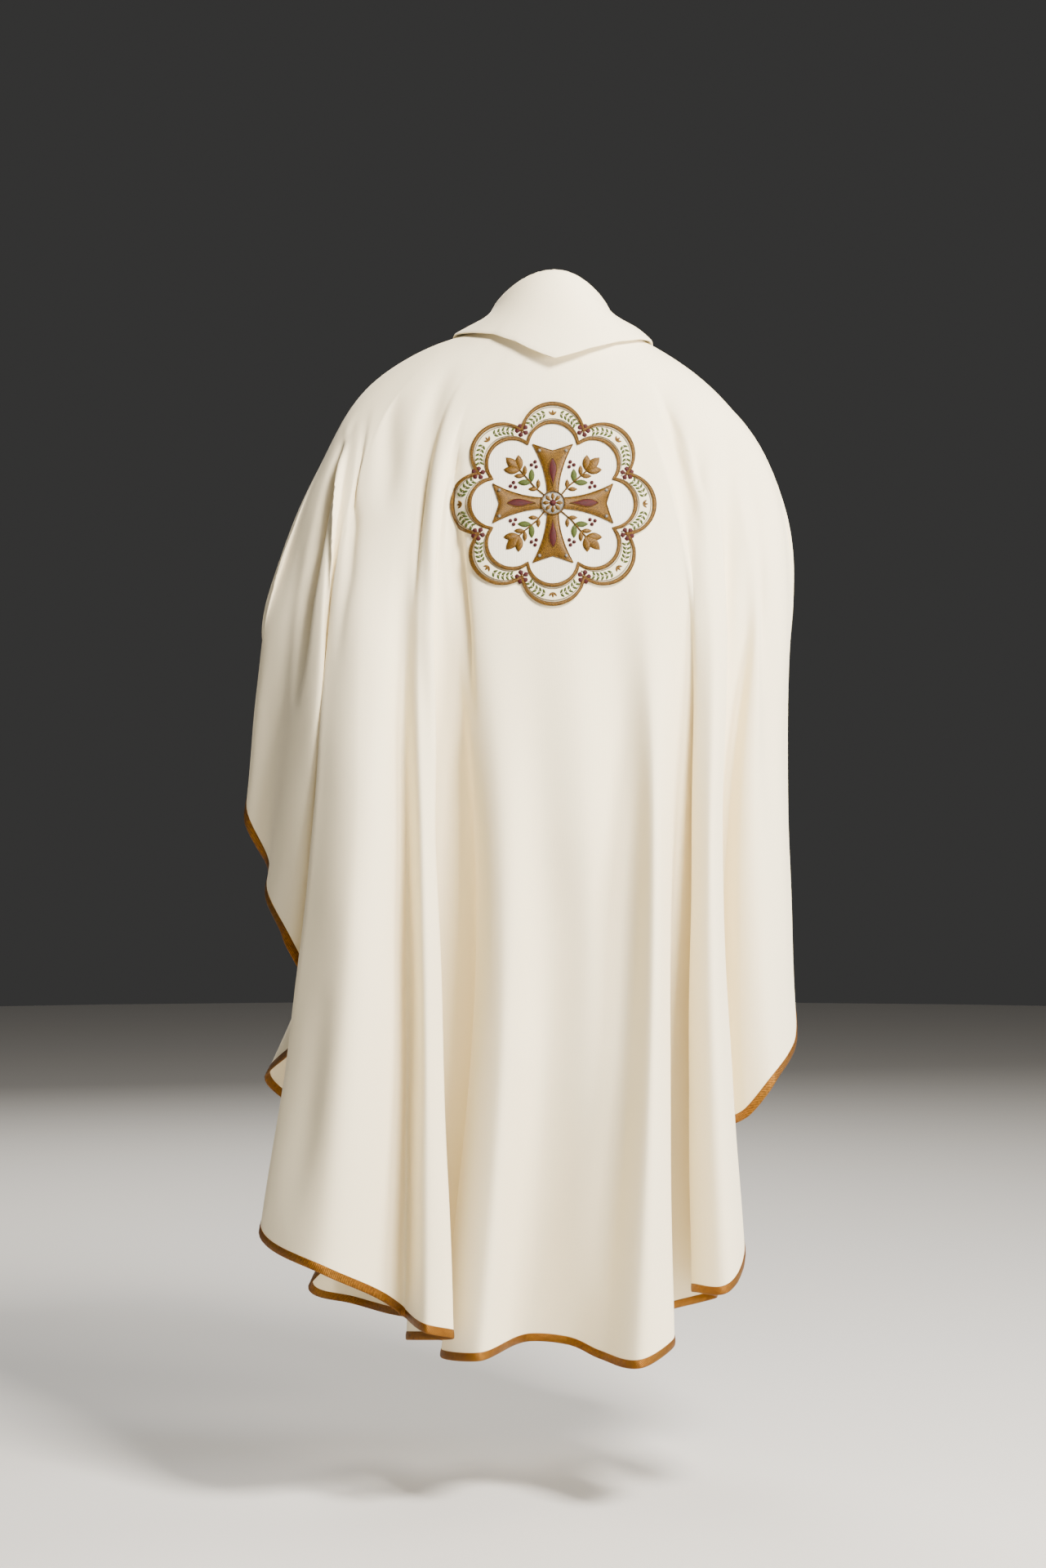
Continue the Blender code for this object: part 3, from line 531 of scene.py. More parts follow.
def creased(grid, out, flat):
    # The grid with its creases pressed in along its outward direction
    depth = np.zeros(grid.shape[:2])
    onCloth = flat[:, :-1]
    for fold in creases:
        facing = grid[..., 1] < 0.0 if fold.side == "back" else grid[..., 1] > 0.0
        outer = facing & ((out[..., 1] < 0.2) if fold.side == "back" else (out[..., 1] > -0.2))
        path = []
        for x, z in fold.path:
            miss = np.hypot(grid[..., 0] - x, grid[..., 2] - z) + np.where(outer, 0.0, 9.0)
            miss = miss + 0.15 * np.where(fold.side == "back", grid[..., 1], -grid[..., 1])
            path.append(onCloth[np.unravel_index(np.argmin(miss), miss.shape)])
        path = np.array(path)
        lengths = np.concatenate([[0], np.cumsum(np.linalg.norm(np.diff(path, axis=0), axis=1))])
        nearest, place = np.full(depth.shape, 9.0), np.zeros(depth.shape)
        for i in range(len(path) - 1):
            step = path[i + 1] - path[i]
            length = max(np.linalg.norm(step), 1e-6)
            share = ((onCloth - path[i]) @ step) / length**2
            overrun = (0.6 if i == 0 else 0.0, 1.6 if i == len(path) - 2 else 1.0)
            held = np.clip(share, -overrun[0], overrun[1])
            miss = np.linalg.norm(onCloth - path[i] - held[..., None] * step, axis=2)
            closer = miss < nearest
            nearest = np.where(closer, miss, nearest)
            place = np.where(closer, lengths[i] + held * length, place)
        middle, half = lengths[-1] / 2, lengths[-1] / 2 * 1.35
        fade = np.clip(1 - ((place - middle) / half) ** 2, 0, 1) ** 1.5
        depth += fold.depth * np.exp(-((nearest / fold.width) ** 2)) * fade
    u, v = onCloth[..., 0], onCloth[..., 1]
    slow = np.sin(u * 21 + 1.3 * np.sin(v * 5.1)) * np.sin(v * 4.3 + u * 3.7 + 0.8)
    slow += 0.6 * np.sin(u * 43 + 2.1 * np.sin(v * 3.2 + 1.0)) * np.sin(v * 7.9 + 2.0)
    depth += cloth["unevenness"] * slow
    rim = np.linspace(0, 1, len(grid))[:, None]
    depth *= np.clip(rim / 0.06, 0, 1)
    return grid + out * depth[..., None]


def panel(name, grid, out, flat, first, last):
    # One cut piece, between two columns of the whole grid, eased back at its seams
    picked = np.arange(first, last + 1)
    middle, facing = grid[:, picked % grid.shape[1]].copy(), out[:, picked % grid.shape[1]]
    for edge, inner in ((0, 1), (-1, -2)):
        across = middle[:, inner] - middle[:, edge]
        across -= (across * facing[:, edge]).sum(axis=1, keepdims=True) * facing[:, edge]
        middle[:, edge] += unit(across) * cloth["seamGap"] / 2
    half = cloth["wall"] / 2
    made = makeWall(name, middle, facing, -half, half, flat[:, picked], "cloth")
    steps = np.diff(middle, axis=1)[:-1], np.diff(middle, axis=0)[:, :-1]
    area = np.linalg.norm(np.cross(*steps), axis=2).sum()
    size = np.ptp(flat[:, picked].reshape(-1, 2), axis=0)
    print(name, "cut", np.round(size, 3), "area", round(float(area), 3), "faces", len(made.data.polygons))
    return made, size, float(area)


columns = columnPlaces()
shares = np.linspace(0, 1, cloth["rows"]) * cloth["share"]
smooth = drapedGrid(columns, shares)
flat = flatLayout(smooth, columns)
grid = creased(smooth, outward(smooth), flat)
out = outward(grid)
rightArm = columns.index(foldPlaces[foldTurns.index(cloth["armLine"])])
backPanel, backSize, backArea = panel("backPanel", grid, out, flat, 0, rightArm)
frontPanel, frontSize, frontArea = panel("frontPanel", grid, out, flat, rightArm, len(columns))
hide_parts("back_panel")
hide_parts("front_panel")
print("cloth hung")


# Bound hem
binding = {
    "half": 0.0015,
    "section": [
        # reach from the cloth's edge, share of the half thickness; the strip takes the edge in
        (-0.0012, 0.62),
        (-0.0008, 0.90),
        (0.0004, 0.78),  # row of stitches
        (0.0018, 1.05),
        (0.0046, 1.10),
        (0.0074, 1.00),
        (0.0088, 0.72),
        (0.0096, 0.0),
    ],
    "pucker": 0.00018,
    "puckerLengths": (0.0052, 0.0031),
    "puckerShares": (1.0, 0.7),
}


def hemBinding(grid, out):
    # A strip folded over the edge: a closed section of front, rounded fold and back
    edge, facing = grid[-1], out[-1]
    away = unit(np.cross(along(edge), facing))
    step = np.linalg.norm(np.roll(edge, -1, axis=0) - edge, axis=1)
    run = np.concatenate([[0], np.cumsum(step)])
    half = binding["half"]
    side = [(reach, share * half) for reach, share in binding["section"]]
    section = side + [(reach, -lift) for reach, lift in side[-2::-1]]
    wave = np.zeros(len(edge))
    for shift, (length, share) in enumerate(zip(binding["puckerLengths"], binding["puckerShares"])):
        wave += share * np.sin(run[:-1] / length + shift)
    pucker = 1 + (binding["pucker"] / half) * wave
    rows, across = [], [0.0]
    for reach, lift in section:
        rows.append(edge + away * reach + facing * (lift * pucker)[:, None])
    for start, end in zip(section, section[1:] + section[:1]):
        across.append(across[-1] + math.dist(start, end))
    rows, across = np.array(rows), np.array(across)
    count, size = rows.shape[:2]
    r, c = [part.ravel() for part in np.indices((count, size))]
    nextRow, nextColumn = (r + 1) % count, (c + 1) % size
    corners = [(r, c), (nextRow, c), (nextRow, nextColumn), (r, nextColumn)]
    faces = np.stack([row * size + column for row, column in corners], 1)
    flatCorners = [(c, r), (c, r + 1), (c + 1, r + 1), (c + 1, r)]
    uvs = np.stack([np.stack([run[column], across[row]], 1) for column, row in flatCorners], 1)
    made = makeMesh("hemBinding", rows.reshape(-1, 3), faces, uvs, "binding")
    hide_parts("hem_binding")


hemBinding(grid, out)
print("hem bound")


# Collar
collar = {
    "wall": 0.0030,
    "columns": 288,
    "rows": 52,
    "neckLength": 0.62,  # of the band, laid flat
    "seamInset": 0.0021,
    "seamDrop": 0.0030,
    "rollHalfGap": 0.0080,
    "rollDrop": 0.0110,
    "shoulder": 0.35,  # share of the reach at which the fall comes to lie on the cloth
    "shoulderLift": 0.0100,
    "edgeRound": 0.0022,
}
rollRing = ring(0.075, 0.066, 0.070, 0.092, 0.048, 0.084, -0.004, 1.00)
fallEdge = [
    # turn from the centre back, reach down the cloth, lift off it
    (-180, 0.092, 0.005),
    (-158, 0.078, 0.005),
    (-120, 0.054, 0.005),
    (-90, 0.046, 0.005),
    (-58, 0.040, 0.005),
    (-36, 0.039, 0.007),
    (-20, 0.048, 0.011),
    (0, 0.070, 0.015),
    (20, 0.055, 0.011),
    (38, 0.046, 0.007),
    (60, 0.043, 0.006),
    (90, 0.046, 0.005),
    (120, 0.054, 0.005),
    (158, 0.078, 0.005),
    (180, 0.092, 0.005),
]


def reachedDown(line, facing, distance, lift):
    lengths = np.concatenate([[0], np.cumsum(np.linalg.norm(np.diff(line, axis=0), axis=1))])
    point = np.array([np.interp(distance, lengths, line[:, k]) for k in range(3)])
    return point + np.array([np.interp(distance, lengths, facing[:, k]) for k in range(3)]) * lift


def fallCollar():
    turns = np.arange(collar["columns"]) * 360.0 / collar["columns"] - cloth["armLine"]
    tried = np.linspace(0, foldPlaces[-1], 2400, endpoint=False)
    reached = around(foldPlaces, foldTurns, tried, lap=360.0, keepOrder=True)
    under = drapedGrid(np.interp(turns, reached, tried), np.linspace(0, 1, 40) ** 1.35)
    facing = outward(under)
    lines = []
    edgeTurns, edgeReaches, edgeLifts = zip(*fallEdge)
    for column, turn in enumerate(turns):
        neck, roll = onRing(neckRing, turn), onRing(rollRing, turn)
        sideways = unit(np.array([neck[0], neck[1], 0.0]))
        up = np.array([0.0, 0.0, 1.0])
        turned = (turn + 180) % 360 - 180
        reach, edgeLift = [np.interp(turned, edgeTurns, values) for values in (edgeReaches, edgeLifts)]
        below = [
            reachedDown(under[:, column], facing[:, column], reach * share, lift)
            for share, lift in ((collar["shoulder"], collar["shoulderLift"]), (1.0, edgeLift))
        ]
        stations = [
            neck - sideways * collar["seamInset"] - up * collar["seamDrop"],
            roll - sideways * collar["rollHalfGap"] - up * collar["rollDrop"],
            roll,
            roll + sideways * collar["rollHalfGap"] - up * collar["rollDrop"],
        ] + below
        lines.append(naturalCurve(np.array(stations), np.linspace(0, 1, collar["rows"]) ** 0.9))
    middle = np.array(lines).transpose(1, 0, 2)
    down = reachDown(middle)
    toEdge = np.clip(1 - (down[-1] - down) / collar["edgeRound"], 0, 1)
    half = collar["wall"] / 2 * np.sqrt(np.clip(1 - 0.75 * toEdge**2, 0, 1))
    flatDown = np.concatenate([-down, -down[:, :1]], 1)
    run = np.linspace(0, collar["neckLength"], flatDown.shape[1])
    flatCollar = np.stack([np.broadcast_to(run, flatDown.shape), flatDown], 2)
    made = makeWall("fallCollar", middle, outward(middle), -half, half, flatCollar, "cloth", closed=True)
    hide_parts("collar")


fallCollar()
print("collar rolled")


# Emblem: laid on the cloth at the centre back
emblem = {
    "centreX": -0.003,
    "centreZ": -0.222,
    "readHalf": 0.150,  # half of the square on which the cloth's depth is read
    "readCount": 101,
    "lobes": 8,
    "lobeCentre": 0.0915,
    "lobeRadius": 0.0400,
    "lobeSteps": 30,
    "groundLift": 0.0018,
    "backLift": 0.0002,
    "border": 0.0050,
    "bandInset": 0.0240,
    "ropeRadius": 0.00085,
    "ropePitch": 0.0042,
    "ropeLift": 0.0011,
    "ropeInset": 0.0006,
    "fineShare": 0.55,
    "finePitch": 0.0030,
    "fineLift": 0.0010,
    "fineInsets": (0.0022, 0.0018),  # from the outer and from the inner border
}
rosette = {
    "reach": 0.1020,
    "petals": 5,
    "petalFoot": 0.0008,
    "petalSize": (0.0086, 0.0068),
    "petalHeights": (0.0003, 0.0021),  # above the ground, as all heights here
    "eyeRadius": 0.0015,
    "eyeHeights": (0.0012, 0.0022),
    "budFoot": 0.0035,
    "budSpread": 0.75,
    "budSize": (0.0078, 0.0032),
    "budHeights": (0.0003, 0.0014),
}
laurel = {
    "start": 0.0095,
    "step": 0.0056,
    "pairs": 5,
    "lean": 0.85,
    "leafSize": (0.0072, 0.0032),
    "leafHeights": (0.0003, 0.0016),
    "berryAhead": 0.0030,
    "berryRadius": 0.0009,
    "berryHeights": (0.0005, 0.0016),
}
cross = {
    "reach": 0.0760,
    "waist": 0.0085,
    "tip": 0.0270,
    "notch": (0.0050, 0.0085),  # depth of the cut in an arm's end, beside its middle and at it
    "heights": (0.0004, 0.0030),
    "edgeRope": (0.00090, 0.0034, 0.0010),  # radius, pitch, height
    "inlayStart": 0.0215,
    "inlayMiddle": 0.0415,
    "inlaySize": (0.036, 0.0100),
    "inlayHeights": (0.0026, 0.0042),
    "inlayRope": (0.0006, 0.0028, 0.0031),
    "studRadius": 0.0022,
    "studHeights": (0.0020, 0.0040),
}
sprig = {
    "stem": [(0.014, 0.0), (0.030, 0.0015), (0.048, 0.0), (0.062, -0.001)],
    "stemRope": (0.0012, 0.0040, 0.0006),
    "tipFoot": 0.059,
    "tips": [(-0.70, 0.021), (0.0, 0.025), (0.70, 0.021)],  # turn, length
    "tipHeights": (0.0004, 0.0026),
    "pairs": [(0.026, 0.013, "gold"), (0.038, 0.018, "green"), (0.050, 0.014, "gold")],  # place, length
    "pairLean": 0.80,
    "pairHeights": (0.0003, 0.0020),
    "berries": [(0.0480, 0.0185), (0.0535, 0.0220), (0.0540, 0.0160)],  # place along and beside the stem
    "berryRadius": 0.0025,
    "berryHeights": (0.0004, 0.0024),
}
centreBoss = {
    "radius": 0.0150,
    "heights": (0.0010, 0.0030),
    "rope": (0.0010, 0.0040, 0.0026),
    "petals": 8,
    "petalFoot": 0.0030,
    "petalSize": (0.0098, 0.0052),
    "petalHeights": (0.0026, 0.0044),
    "eyeRadius": 0.0042,
    "eyeHeights": (0.0030, 0.0058),
}
emblemRadius = emblem["lobeCentre"] + emblem["lobeRadius"]


def clothHeights():
    # Depth of the back panel behind the emblem, read on a square grid once
    source = backPanel.data
    corners = [tuple(face.vertices) for face in source.polygons]
    tree = BVHTree.FromPolygons([vertex.co for vertex in source.vertices], corners)
    axis = np.linspace(-emblem["readHalf"], emblem["readHalf"], emblem["readCount"])
    depths = np.empty((len(axis), len(axis)))
    for i, z in enumerate(axis):
        for j, x in enumerate(axis):
            start = Vector((emblem["centreX"] + x, -1.0, emblem["centreZ"] + z))
            hit = tree.ray_cast(start, Vector((0.0, 1.0, 0.0)))[0]
            depths[i, j] = hit.y
    return axis, depths


heightAxis, heights = clothHeights()
slopeZ, slopeX = np.gradient(heights, heightAxis, heightAxis)


def readGrid(values, x, z):
    step = heightAxis[1] - heightAxis[0]
    i = np.clip((z - heightAxis[0]) / step, 0, len(heightAxis) - 1.001)
    j = np.clip((x - heightAxis[0]) / step, 0, len(heightAxis) - 1.001)
    r, c = i.astype(int), j.astype(int)
    a, b = i - r, j - c
    top = values[r, c] * (1 - b) + values[r, c + 1] * b
    return top * (1 - a) + (values[r + 1, c] * (1 - b) + values[r + 1, c + 1] * b) * a


def onEmblem(x, z, lift):
    # Points of the emblem's plane, laid on the cloth and raised by lift
    x, z = np.asarray(x, float), np.asarray(z, float)
    facing = unit(np.stack([readGrid(slopeX, x, z), -np.ones_like(x), readGrid(slopeZ, x, z)], axis=-1))
    base = np.stack([emblem["centreX"] + x, readGrid(heights, x, z), emblem["centreZ"] + z], axis=-1)
    return base + facing * np.asarray(lift)[..., None]


class Stitched:
    # Collects the shapes worked in one thread, to make one piece of them

    def __init__(self, name, finish):
        self.name, self.finish = name, finish
        self.points, self.faces, self.uvs, self.count = [], [], [], 0

    def add(self, points, faces, uvs):
        self.points.append(np.asarray(points).reshape(-1, 3))
        self.faces += (np.asarray(faces) + self.count).tolist()
        self.uvs.append(np.asarray(uvs).reshape(-1, 2))
        self.count += len(self.points[-1])

    def make(self):
        points, uvs = np.concatenate(self.points), np.concatenate(self.uvs)
        return makeMesh(self.name, points, self.faces, uvs, self.finish, sharp=80)


def octofoil(inset, steps=emblem["lobeSteps"]):
    scale = 1 - inset / emblemRadius
    halfPitch = math.pi / emblem["lobes"]
    sweep = halfPitch + math.asin(emblem["lobeCentre"] * math.sin(halfPitch) / emblem["lobeRadius"])
    points = []
    for lobe in range(emblem["lobes"]):
        facing = 2 * lobe * halfPitch
        for step in range(steps):
            angle = facing + sweep * (2 * step / steps - 1)
            x = emblem["lobeCentre"] * math.cos(facing) + emblem["lobeRadius"] * math.cos(angle)
            z = emblem["lobeCentre"] * math.sin(facing) + emblem["lobeRadius"] * math.sin(angle)
            points.append((x * scale, z * scale))
    return np.array(points)


def ringFaces(starts, tip, count, turnedIn):
    # Rings of count points joined one to the next, and the last one to a tip
    i = np.arange(count)
    j = (i + 1) % count
    faces = []
    for start, following in zip(starts[:-1], starts[1:]):
        faces += np.stack([start + i, start + j, following + j, following + i], 1).tolist()
    faces += np.stack([starts[-1] + i, starts[-1] + j, np.full(count, tip)], 1).tolist()
    return [face[::-1] for face in faces] if turnedIn else faces


def pad(into, outline, centre, low, high, stitchTurn, rings=5, power=0.5):
    # A closed low dome over an outline, with its stitches turned as given and a back along the cloth
    outline, centre = np.asarray(outline), np.asarray(centre)
    scale = np.concatenate([[1.0, 1.0], np.cos(np.linspace(0, math.pi / 2, rings + 1))[1:-1] ** 0.8])
    lift = low + (high - low) * np.clip(1 - scale**2, 0, 1) ** power
    lift[0] = emblem["backLift"]
    count, levels = len(outline), len(scale)
    front = (centre + (outline - centre) * scale[:, None, None]).reshape(-1, 2)
    back = front[2 * count :]
    place = np.concatenate([front, [centre], back, [centre]])
    lifts = np.concatenate([np.repeat(lift, count), [high], np.full(len(back) + 1, emblem["backLift"])])
    tip = levels * count
    backStarts = [0] + [tip + 1 + level * count for level in range(levels - 2)]
    faces = ringFaces([level * count for level in range(levels)], tip, count, False)
    faces += ringFaces(backStarts, len(place) - 1, count, True)
    cosine, sine = math.cos(stitchTurn), math.sin(stitchTurn)
    flatUv = place @ np.array([[cosine, -sine], [sine, cosine]])
    into.points.append(onEmblem(place[:, 0], place[:, 1], lifts))
    into.uvs.append(flatUv[[vertex for face in faces for vertex in face]])
    into.faces += [[vertex + into.count for vertex in face] for face in faces]
    into.count += len(place)


def evenly(path, step, closed=True):
    # The same line with points a step apart
    path = np.asarray(path, float)
    loop = np.concatenate([path, path[:1]]) if closed else path
    lengths = np.concatenate([[0], np.cumsum(np.linalg.norm(np.diff(loop, axis=0), axis=1))])
    at = np.linspace(0, lengths[-1], max(4, round(lengths[-1] / step)) + 1)
    line = np.stack([np.interp(at, lengths, loop[:, k]) for k in range(2)], axis=1)
    return (line[:-1] if closed else line), at


def braid(into, path, width, low, high):
    # A satin-stitched band along a line, with its threads lying across it
    line, at = evenly(path, 0.0028)
    ahead = np.roll(line, -1, axis=0) - np.roll(line, 1, axis=0)
    side = unit(ahead)[:, ::-1] * [1, -1]
    section = [(-0.5, 0.0), (-0.5, 0.55), (-0.32, 0.90), (0.0, 1.0), (0.32, 0.90), (0.5, 0.55), (0.5, 0.0)]
    points, rows = [], len(section)
    for reach, share in section:
        place = line + side * reach * width
        points.append(onEmblem(place[:, 0], place[:, 1], np.full(len(line), low + (high - low) * share)))
    points = np.array(points)
    size = len(line)
    r, c = [part.ravel() for part in np.indices((rows, size))]
    nextRow, nextColumn = (r + 1) % rows, (c + 1) % size
    corners = [(r, c), (nextRow, c), (nextRow, nextColumn), (r, nextColumn)]
    faces = np.stack([row * size + column for row, column in corners], 1)
    across = np.array([s[0] * width for s in section] + [0.5 * width])
    uvs = [(at[c], across[r]), (at[c], across[r + 1]), (at[c + 1], across[r + 1]), (at[c + 1], across[r])]
    into.add(points, faces, np.stack([np.stack(pair, 1) for pair in uvs], 1))


strandShare = 0.62  # of a rope's radius, for each of its threads


def rope(into, path, radius, pitch, lift, closed=True, strands=2, sides=5):
    # Threads twisted round each other along a line; each thread is a closed tube
    line, at = evenly(path, pitch / 5, closed)
    ahead = unit(np.roll(line, -1, axis=0) - np.roll(line, 1, axis=0))
    if not closed:
        ahead[0], ahead[-1] = ahead[1], ahead[-2]
    side, size = ahead[:, ::-1] * [1, -1], len(line)
    turns = round(at[-1] / pitch) if closed else at[-1] / pitch
    for strand in range(strands):
        angle = 2 * math.pi * (turns * at[:size] / at[-1] + strand / strands)
        middle = line + side * (radius * 0.5 * np.cos(angle))[:, None]
        height = lift + radius * 0.5 * np.sin(angle)
        rows = []
        for k in range(sides):
            corner = 2 * math.pi * k / sides
            place = middle + side * radius * strandShare * math.cos(corner)
            rows.append(onEmblem(place[:, 0], place[:, 1], height + radius * strandShare * math.sin(corner)))
        r, c = [part.ravel() for part in np.indices((sides, size if closed else size - 1))]
        nextRow, nextColumn = (r + 1) % sides, (c + 1) % size
        corners = [(r, c), (r, nextColumn), (nextRow, nextColumn), (nextRow, c)]
        faces = np.stack([row * size + column for row, column in corners], 1)
        v = np.arange(sides + 1) * radius * 0.6
        uvs = [(at[c], v[r]), (at[c + 1], v[r]), (at[c + 1], v[r + 1]), (at[c], v[r + 1])]
        into.add(np.array(rows), faces, np.stack([np.stack(pair, 1) for pair in uvs], 1))
        if not closed:
            foot = into.count - sides * size
            start, end = range(0, sides * size, size), range(size - 1, sides * size, size)
            for cap in (start, end[::-1]):
                into.faces.append([vertex + foot for vertex in cap])
                into.uvs.append(np.zeros((sides, 2)))


def turnedBy(points, turn, offset=(0.0, 0.0)):
    cosine, sine = math.cos(turn), math.sin(turn)
    points = np.asarray(points, float)
    return points @ np.array([[cosine, sine], [-sine, cosine]]) + np.asarray(offset)


def leafOutline(length, width, steps=6, blunt=1.0):
    t = np.linspace(0, 1, steps + 1)
    half = width / 2 * np.sin(math.pi * t**blunt) ** 0.8
    upper = list(zip(t * length, half))
    lower = list(zip(t[-2:0:-1] * length, -half[-2:0:-1]))
    return np.array(upper + lower)[::-1]


def raised(heights):
    return emblem["groundLift"] + heights[0], emblem["groundLift"] + heights[1]


def leaf(into, foot, turn, size, heights, blunt=1.0):
    outline = turnedBy(leafOutline(*size, blunt=blunt), turn, foot)
    middle = turnedBy([(size[0] * 0.5, 0.0)], turn, foot)[0]
    pad(into, outline, middle, *raised(heights), turn + math.radians(62), rings=3)


def knot(into, centre, radius, heights):
    angles = np.linspace(0, 2 * math.pi, 10, endpoint=False)
    outline = np.stack([np.cos(angles), np.sin(angles)], 1) * radius + centre
    pad(into, outline, centre, *raised(heights), 0.6, rings=3)


def sewnRope(into, path, size, closed=True):
    radius, pitch, lift = size
    rope(into, path, radius, pitch, emblem["groundLift"] + lift, closed=closed)


def emblemBorders(work):
    # The ground, the pale band, and on both borders a satin strip between two twisted cords
    base, border, inset = emblem["groundLift"], emblem["border"], emblem["bandInset"]
    pad(work["Ground"], octofoil(0.0006, 14), (0.0, 0.0), 0.0010, base, 0.0, rings=14, power=0.06)
    braid(work["Band"], octofoil((border + inset) / 2), inset - border + 0.002, 0.0004, base + 0.0006)
    for start, cord in ((0.0, work["OuterCord"]), (inset, work["InnerCord"])):
        braid(work["Gold"], octofoil(start + border / 2), border - 0.0008, base - 0.0006, base + 0.0016)
        for edge in (start + emblem["ropeInset"], start + border - emblem["ropeInset"]):
            sewnRope(cord, octofoil(edge), (emblem["ropeRadius"], emblem["ropePitch"], emblem["ropeLift"]))
    fine = (emblem["ropeRadius"] * emblem["fineShare"], emblem["finePitch"], emblem["fineLift"])
    sewnRope(work["OuterCord"], octofoil(border + emblem["fineInsets"][0]), fine)
    sewnRope(work["InnerCord"], octofoil(inset - emblem["fineInsets"][1]), fine)


def emblemBand(work):
    # A red rosette at each cusp, three gold buds on each lobe, and laurel growing between them
    middle = (emblem["border"] + emblem["bandInset"]) / 2
    path, at = evenly(octofoil(middle), 0.0005)
    ahead = unit(np.roll(path, -1, axis=0) - path)
    perLobe = at[-1] / emblem["lobes"]
    for lobe in range(emblem["lobes"]):
        facing = math.pi / emblem["lobes"] * (2 * lobe + 1)
        cusp = turnedBy([(rosette["reach"], 0.0)], facing)[0]
        for petal in range(rosette["petals"]):
            turn = facing + 2 * math.pi * petal / rosette["petals"]
            foot = cusp + rosette["petalFoot"] * np.array([math.cos(turn), math.sin(turn)])
            leaf(work["Red"], foot, turn, rosette["petalSize"], rosette["petalHeights"], blunt=1.6)
        knot(work["Gold"], cusp, rosette["eyeRadius"], rosette["eyeHeights"])
        outwards = 2 * math.pi * lobe / emblem["lobes"]
        bud = turnedBy([(emblemRadius - middle - rosette["budFoot"], 0.0)], outwards)[0]
        for spread in (-rosette["budSpread"], 0.0, rosette["budSpread"]):
            leaf(work["Gold"], bud, outwards + spread, rosette["budSize"], rosette["budHeights"])
        for sense in (-1, 1):
            for step in range(laurel["pairs"]):
                place = (perLobe * (lobe + 0.5) + sense * (laurel["start"] + laurel["step"] * step)) % at[-1]
                spot = int(place / at[-1] * len(path)) % len(path)
                way = math.atan2(*ahead[spot][::-1]) + (math.pi if sense < 0 else 0.0)
                for lean in (-laurel["lean"], laurel["lean"]):
                    leaf(work["Green"], path[spot], way + lean, laurel["leafSize"], laurel["leafHeights"])
                berry = path[spot] + ahead[spot] * sense * laurel["berryAhead"]
                knot(work["Gold"], berry, laurel["berryRadius"], laurel["berryHeights"])


def crossArm(work, turn):
    # One flared arm in raised gold, corded at its edge, with a red inlay and two silver studs
    reach, waist, tip = cross["reach"], cross["waist"], cross["tip"]
    beside, deepest = cross["notch"]
    t = np.linspace(0, 1, 10)
    lower = np.stack([waist + (reach - waist) * t, -waist * 0.8 - (tip - waist) * t**2], 1)
    notch = [(reach - beside, -tip * 0.42), (reach - deepest, 0.0), (reach - beside, tip * 0.42)]
    outline = turnedBy(np.concatenate([lower, notch, (lower * [1, -1])[::-1]]), turn)
    middle = turnedBy([(reach * 0.60, 0.0)], turn)[0]
    pad(work["Gold"], outline, middle, *raised(cross["heights"]), turn + 0.5, rings=6)
    sewnRope(work["FigureCord"], outline, cross["edgeRope"])
    foot = turnedBy([(cross["inlayStart"], 0.0)], turn)[0]
    inlay = turnedBy(leafOutline(*cross["inlaySize"], 10, 1.5), turn, foot)
    middle = turnedBy([(cross["inlayMiddle"], 0.0)], turn)[0]
    pad(work["Red"], inlay, middle, *raised(cross["inlayHeights"]), turn + 1.0)
    sewnRope(work["FigureCord"], inlay, cross["inlayRope"])
    for side in (-1, 1):
        stud = turnedBy([(reach - deepest, side * tip * 0.62)], turn)[0]
        knot(work["Silver"], stud, cross["studRadius"], cross["studHeights"])


def leafSprig(work, slant):
    # A stem between two arms, with three gold leaves at its end, pairs beside it and red berries
    sewnRope(work["FigureCord"], turnedBy(sprig["stem"], slant), sprig["stemRope"], closed=False)
    foot = turnedBy([(sprig["tipFoot"], 0.0)], slant)[0]
    for spread, length in sprig["tips"]:
        leaf(work["Gold"], foot, slant + spread, (length, length * 0.50), sprig["tipHeights"])
    for place, length, thread in sprig["pairs"]:
        foot = turnedBy([(place, 0.0)], slant)[0]
        for side in (-1, 1):
            turn = slant + side * sprig["pairLean"]
            leaf(work[thread.title()], foot, turn, (length, length * 0.44), sprig["pairHeights"])
    for side in (-1, 1):
        for place, aside in sprig["berries"]:
            berry = turnedBy([(place, side * aside)], slant)[0]
            knot(work["Red"], berry, sprig["berryRadius"], sprig["berryHeights"])


def emblemBoss(work):
    angles = np.linspace(0, 2 * math.pi, 48, endpoint=False)
    disc = np.stack([np.cos(angles), np.sin(angles)], 1) * centreBoss["radius"]
    pad(work["Silver"], disc, (0.0, 0.0), *raised(centreBoss["heights"]), 0.4, rings=4, power=0.25)
    sewnRope(work["FigureCord"], disc, centreBoss["rope"])
    for petal in range(centreBoss["petals"]):
        turn = 2 * math.pi * petal / centreBoss["petals"]
        foot = turnedBy([(centreBoss["petalFoot"], 0.0)], turn)[0]
        leaf(work["Gold"], foot, turn, centreBoss["petalSize"], centreBoss["petalHeights"], blunt=1.3)
    knot(work["Red"], np.zeros(2), centreBoss["eyeRadius"], centreBoss["eyeHeights"])


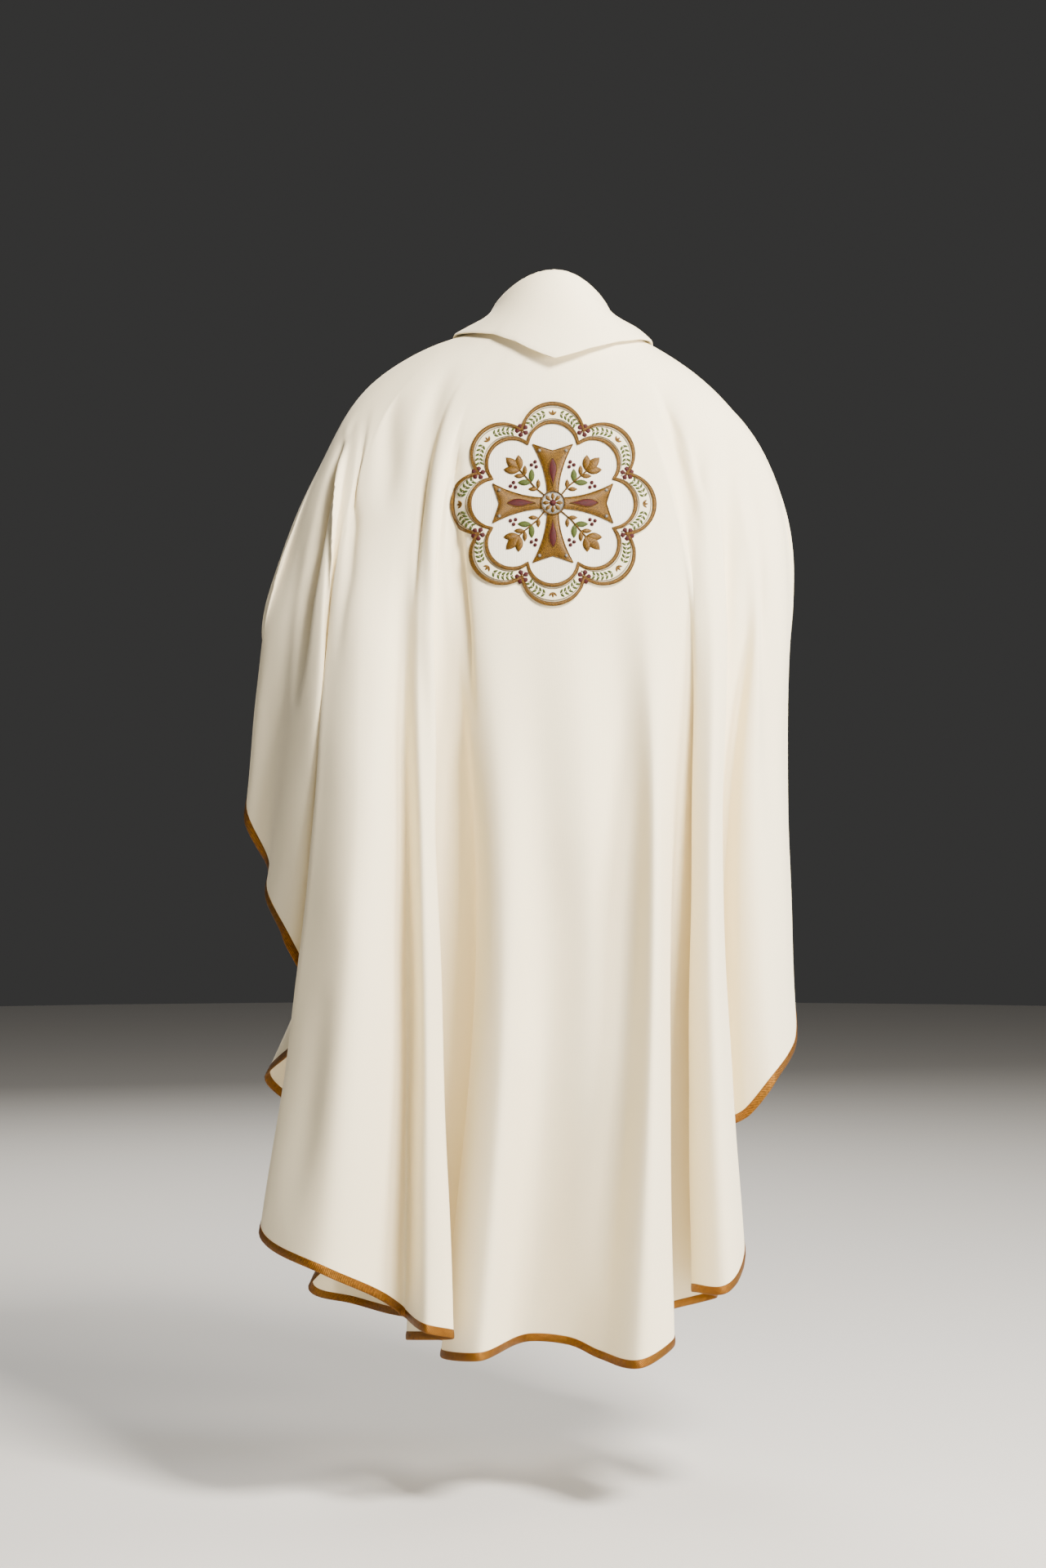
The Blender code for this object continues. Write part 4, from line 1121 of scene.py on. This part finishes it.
def emblemPieces():
    threads = {
        "Ground": "ground",
        "Band": "band",
        "Gold": "gold",
        "OuterCord": "gold",
        "InnerCord": "gold",
        "FigureCord": "gold",
        "Silver": "silver",
        "Red": "red",
        "Green": "green",
    }
    work = {name: Stitched("emblem" + name, finish) for name, finish in threads.items()}
    emblemBorders(work)
    emblemBand(work)
    for arm in range(4):
        crossArm(work, arm * math.pi / 2)
        leafSprig(work, arm * math.pi / 2 + math.pi / 4)
    emblemBoss(work)
    made = {name: stitched.make() for name, stitched in work.items()}
    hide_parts("emblem_ground")
    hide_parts("emblem_outer_cord")
    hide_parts("emblem_inner_cord")
    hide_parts("emblem_cross")
    for piece in made.values():
        print(piece.name, "faces", len(piece.data.polygons))
    return list(made.values())


emblemParts = emblemPieces()
print("emblem stitched")


# Floor, light and camera
studio = {
    "floorZ": -1.480,
    "floorRadius": 9.0,
    "aimZ": -0.6,
    "floorColour": "#D6D3CE",
    "world": 0.05,
    "lamps": [
        # name, place, size, watts, colour
        ("keyAbove", (1.1, -1.8, 1.7), 0.8, 330.0, "#FFF9F0"),
        ("softRight", (3.5, -2.2, -0.2), 1.2, 260.0, "#FFF9F0"),
        ("fillLow", (0.8, -4.6, -0.9), 1.4, 32.0, "#FFFBF4"),
        ("sideLeft", (-3.4, 1.0, 0.4), 1.6, 9.0, "#E6EEFF"),
        ("rimRight", (3.0, 0.6, 0.6), 1.5, 60.0, "#F0F5FF"),
        ("frontSoft", (-0.9, 3.6, 1.6), 1.6, 130.0, "#FFFBF4"),
    ],
    "cameraPlace": (-0.0407, -4.15, -0.577),
    "lens": 72.75,
}


def studioSet():
    bpy.ops.object.select_all(action="DESELECT")
    size, place = studio["floorRadius"], (0, 0, studio["floorZ"])
    bpy.ops.mesh.primitive_circle_add(vertices=64, radius=size, fill_type="NGON", location=place)
    floor = bpy.context.object
    floor.name = "floor"
    bpy.ops.object.transform_apply(location=True)
    painted = newMaterial("paintedFloor")  # matt emulsion on a smooth floor: even and dull
    shadeWith(painted, {"Base Color": colour(studio["floorColour"]), "Roughness": 0.7}, {})
    floor.data.materials.append(painted)
    world = bpy.data.worlds.new("studio")
    world.use_nodes = True
    world.node_tree.nodes["Background"].inputs["Color"].default_value = colour("#E9E8E6")
    world.node_tree.nodes["Background"].inputs["Strength"].default_value = studio["world"]
    bpy.context.scene.world = world
    for name, place, size, watts, tint in studio["lamps"]:
        lamp = bpy.data.lights.new(name, "AREA")
        lamp.size, lamp.energy, lamp.color = size, watts, colour(tint)[:3]
        stand = bpy.data.objects.new(name, lamp)
        stand.location = place
        aim = Vector((0.0, 0.0, studio["aimZ"])) - Vector(place)
        stand.rotation_euler = aim.to_track_quat("-Z", "Y").to_euler()
        bpy.context.scene.collection.objects.link(stand)
    lens = bpy.data.cameras.new("camera")
    lens.sensor_fit, lens.sensor_width, lens.sensor_height = "AUTO", 36.0, 36.0
    lens.lens = studio["lens"]
    camera = bpy.data.objects.new("camera", lens)
    camera.location = studio["cameraPlace"]
    camera.rotation_euler = (math.radians(90), 0.0, 0.0)
    bpy.context.scene.collection.objects.link(camera)
    bpy.context.scene.camera = camera


studioSet()
print("studio set")
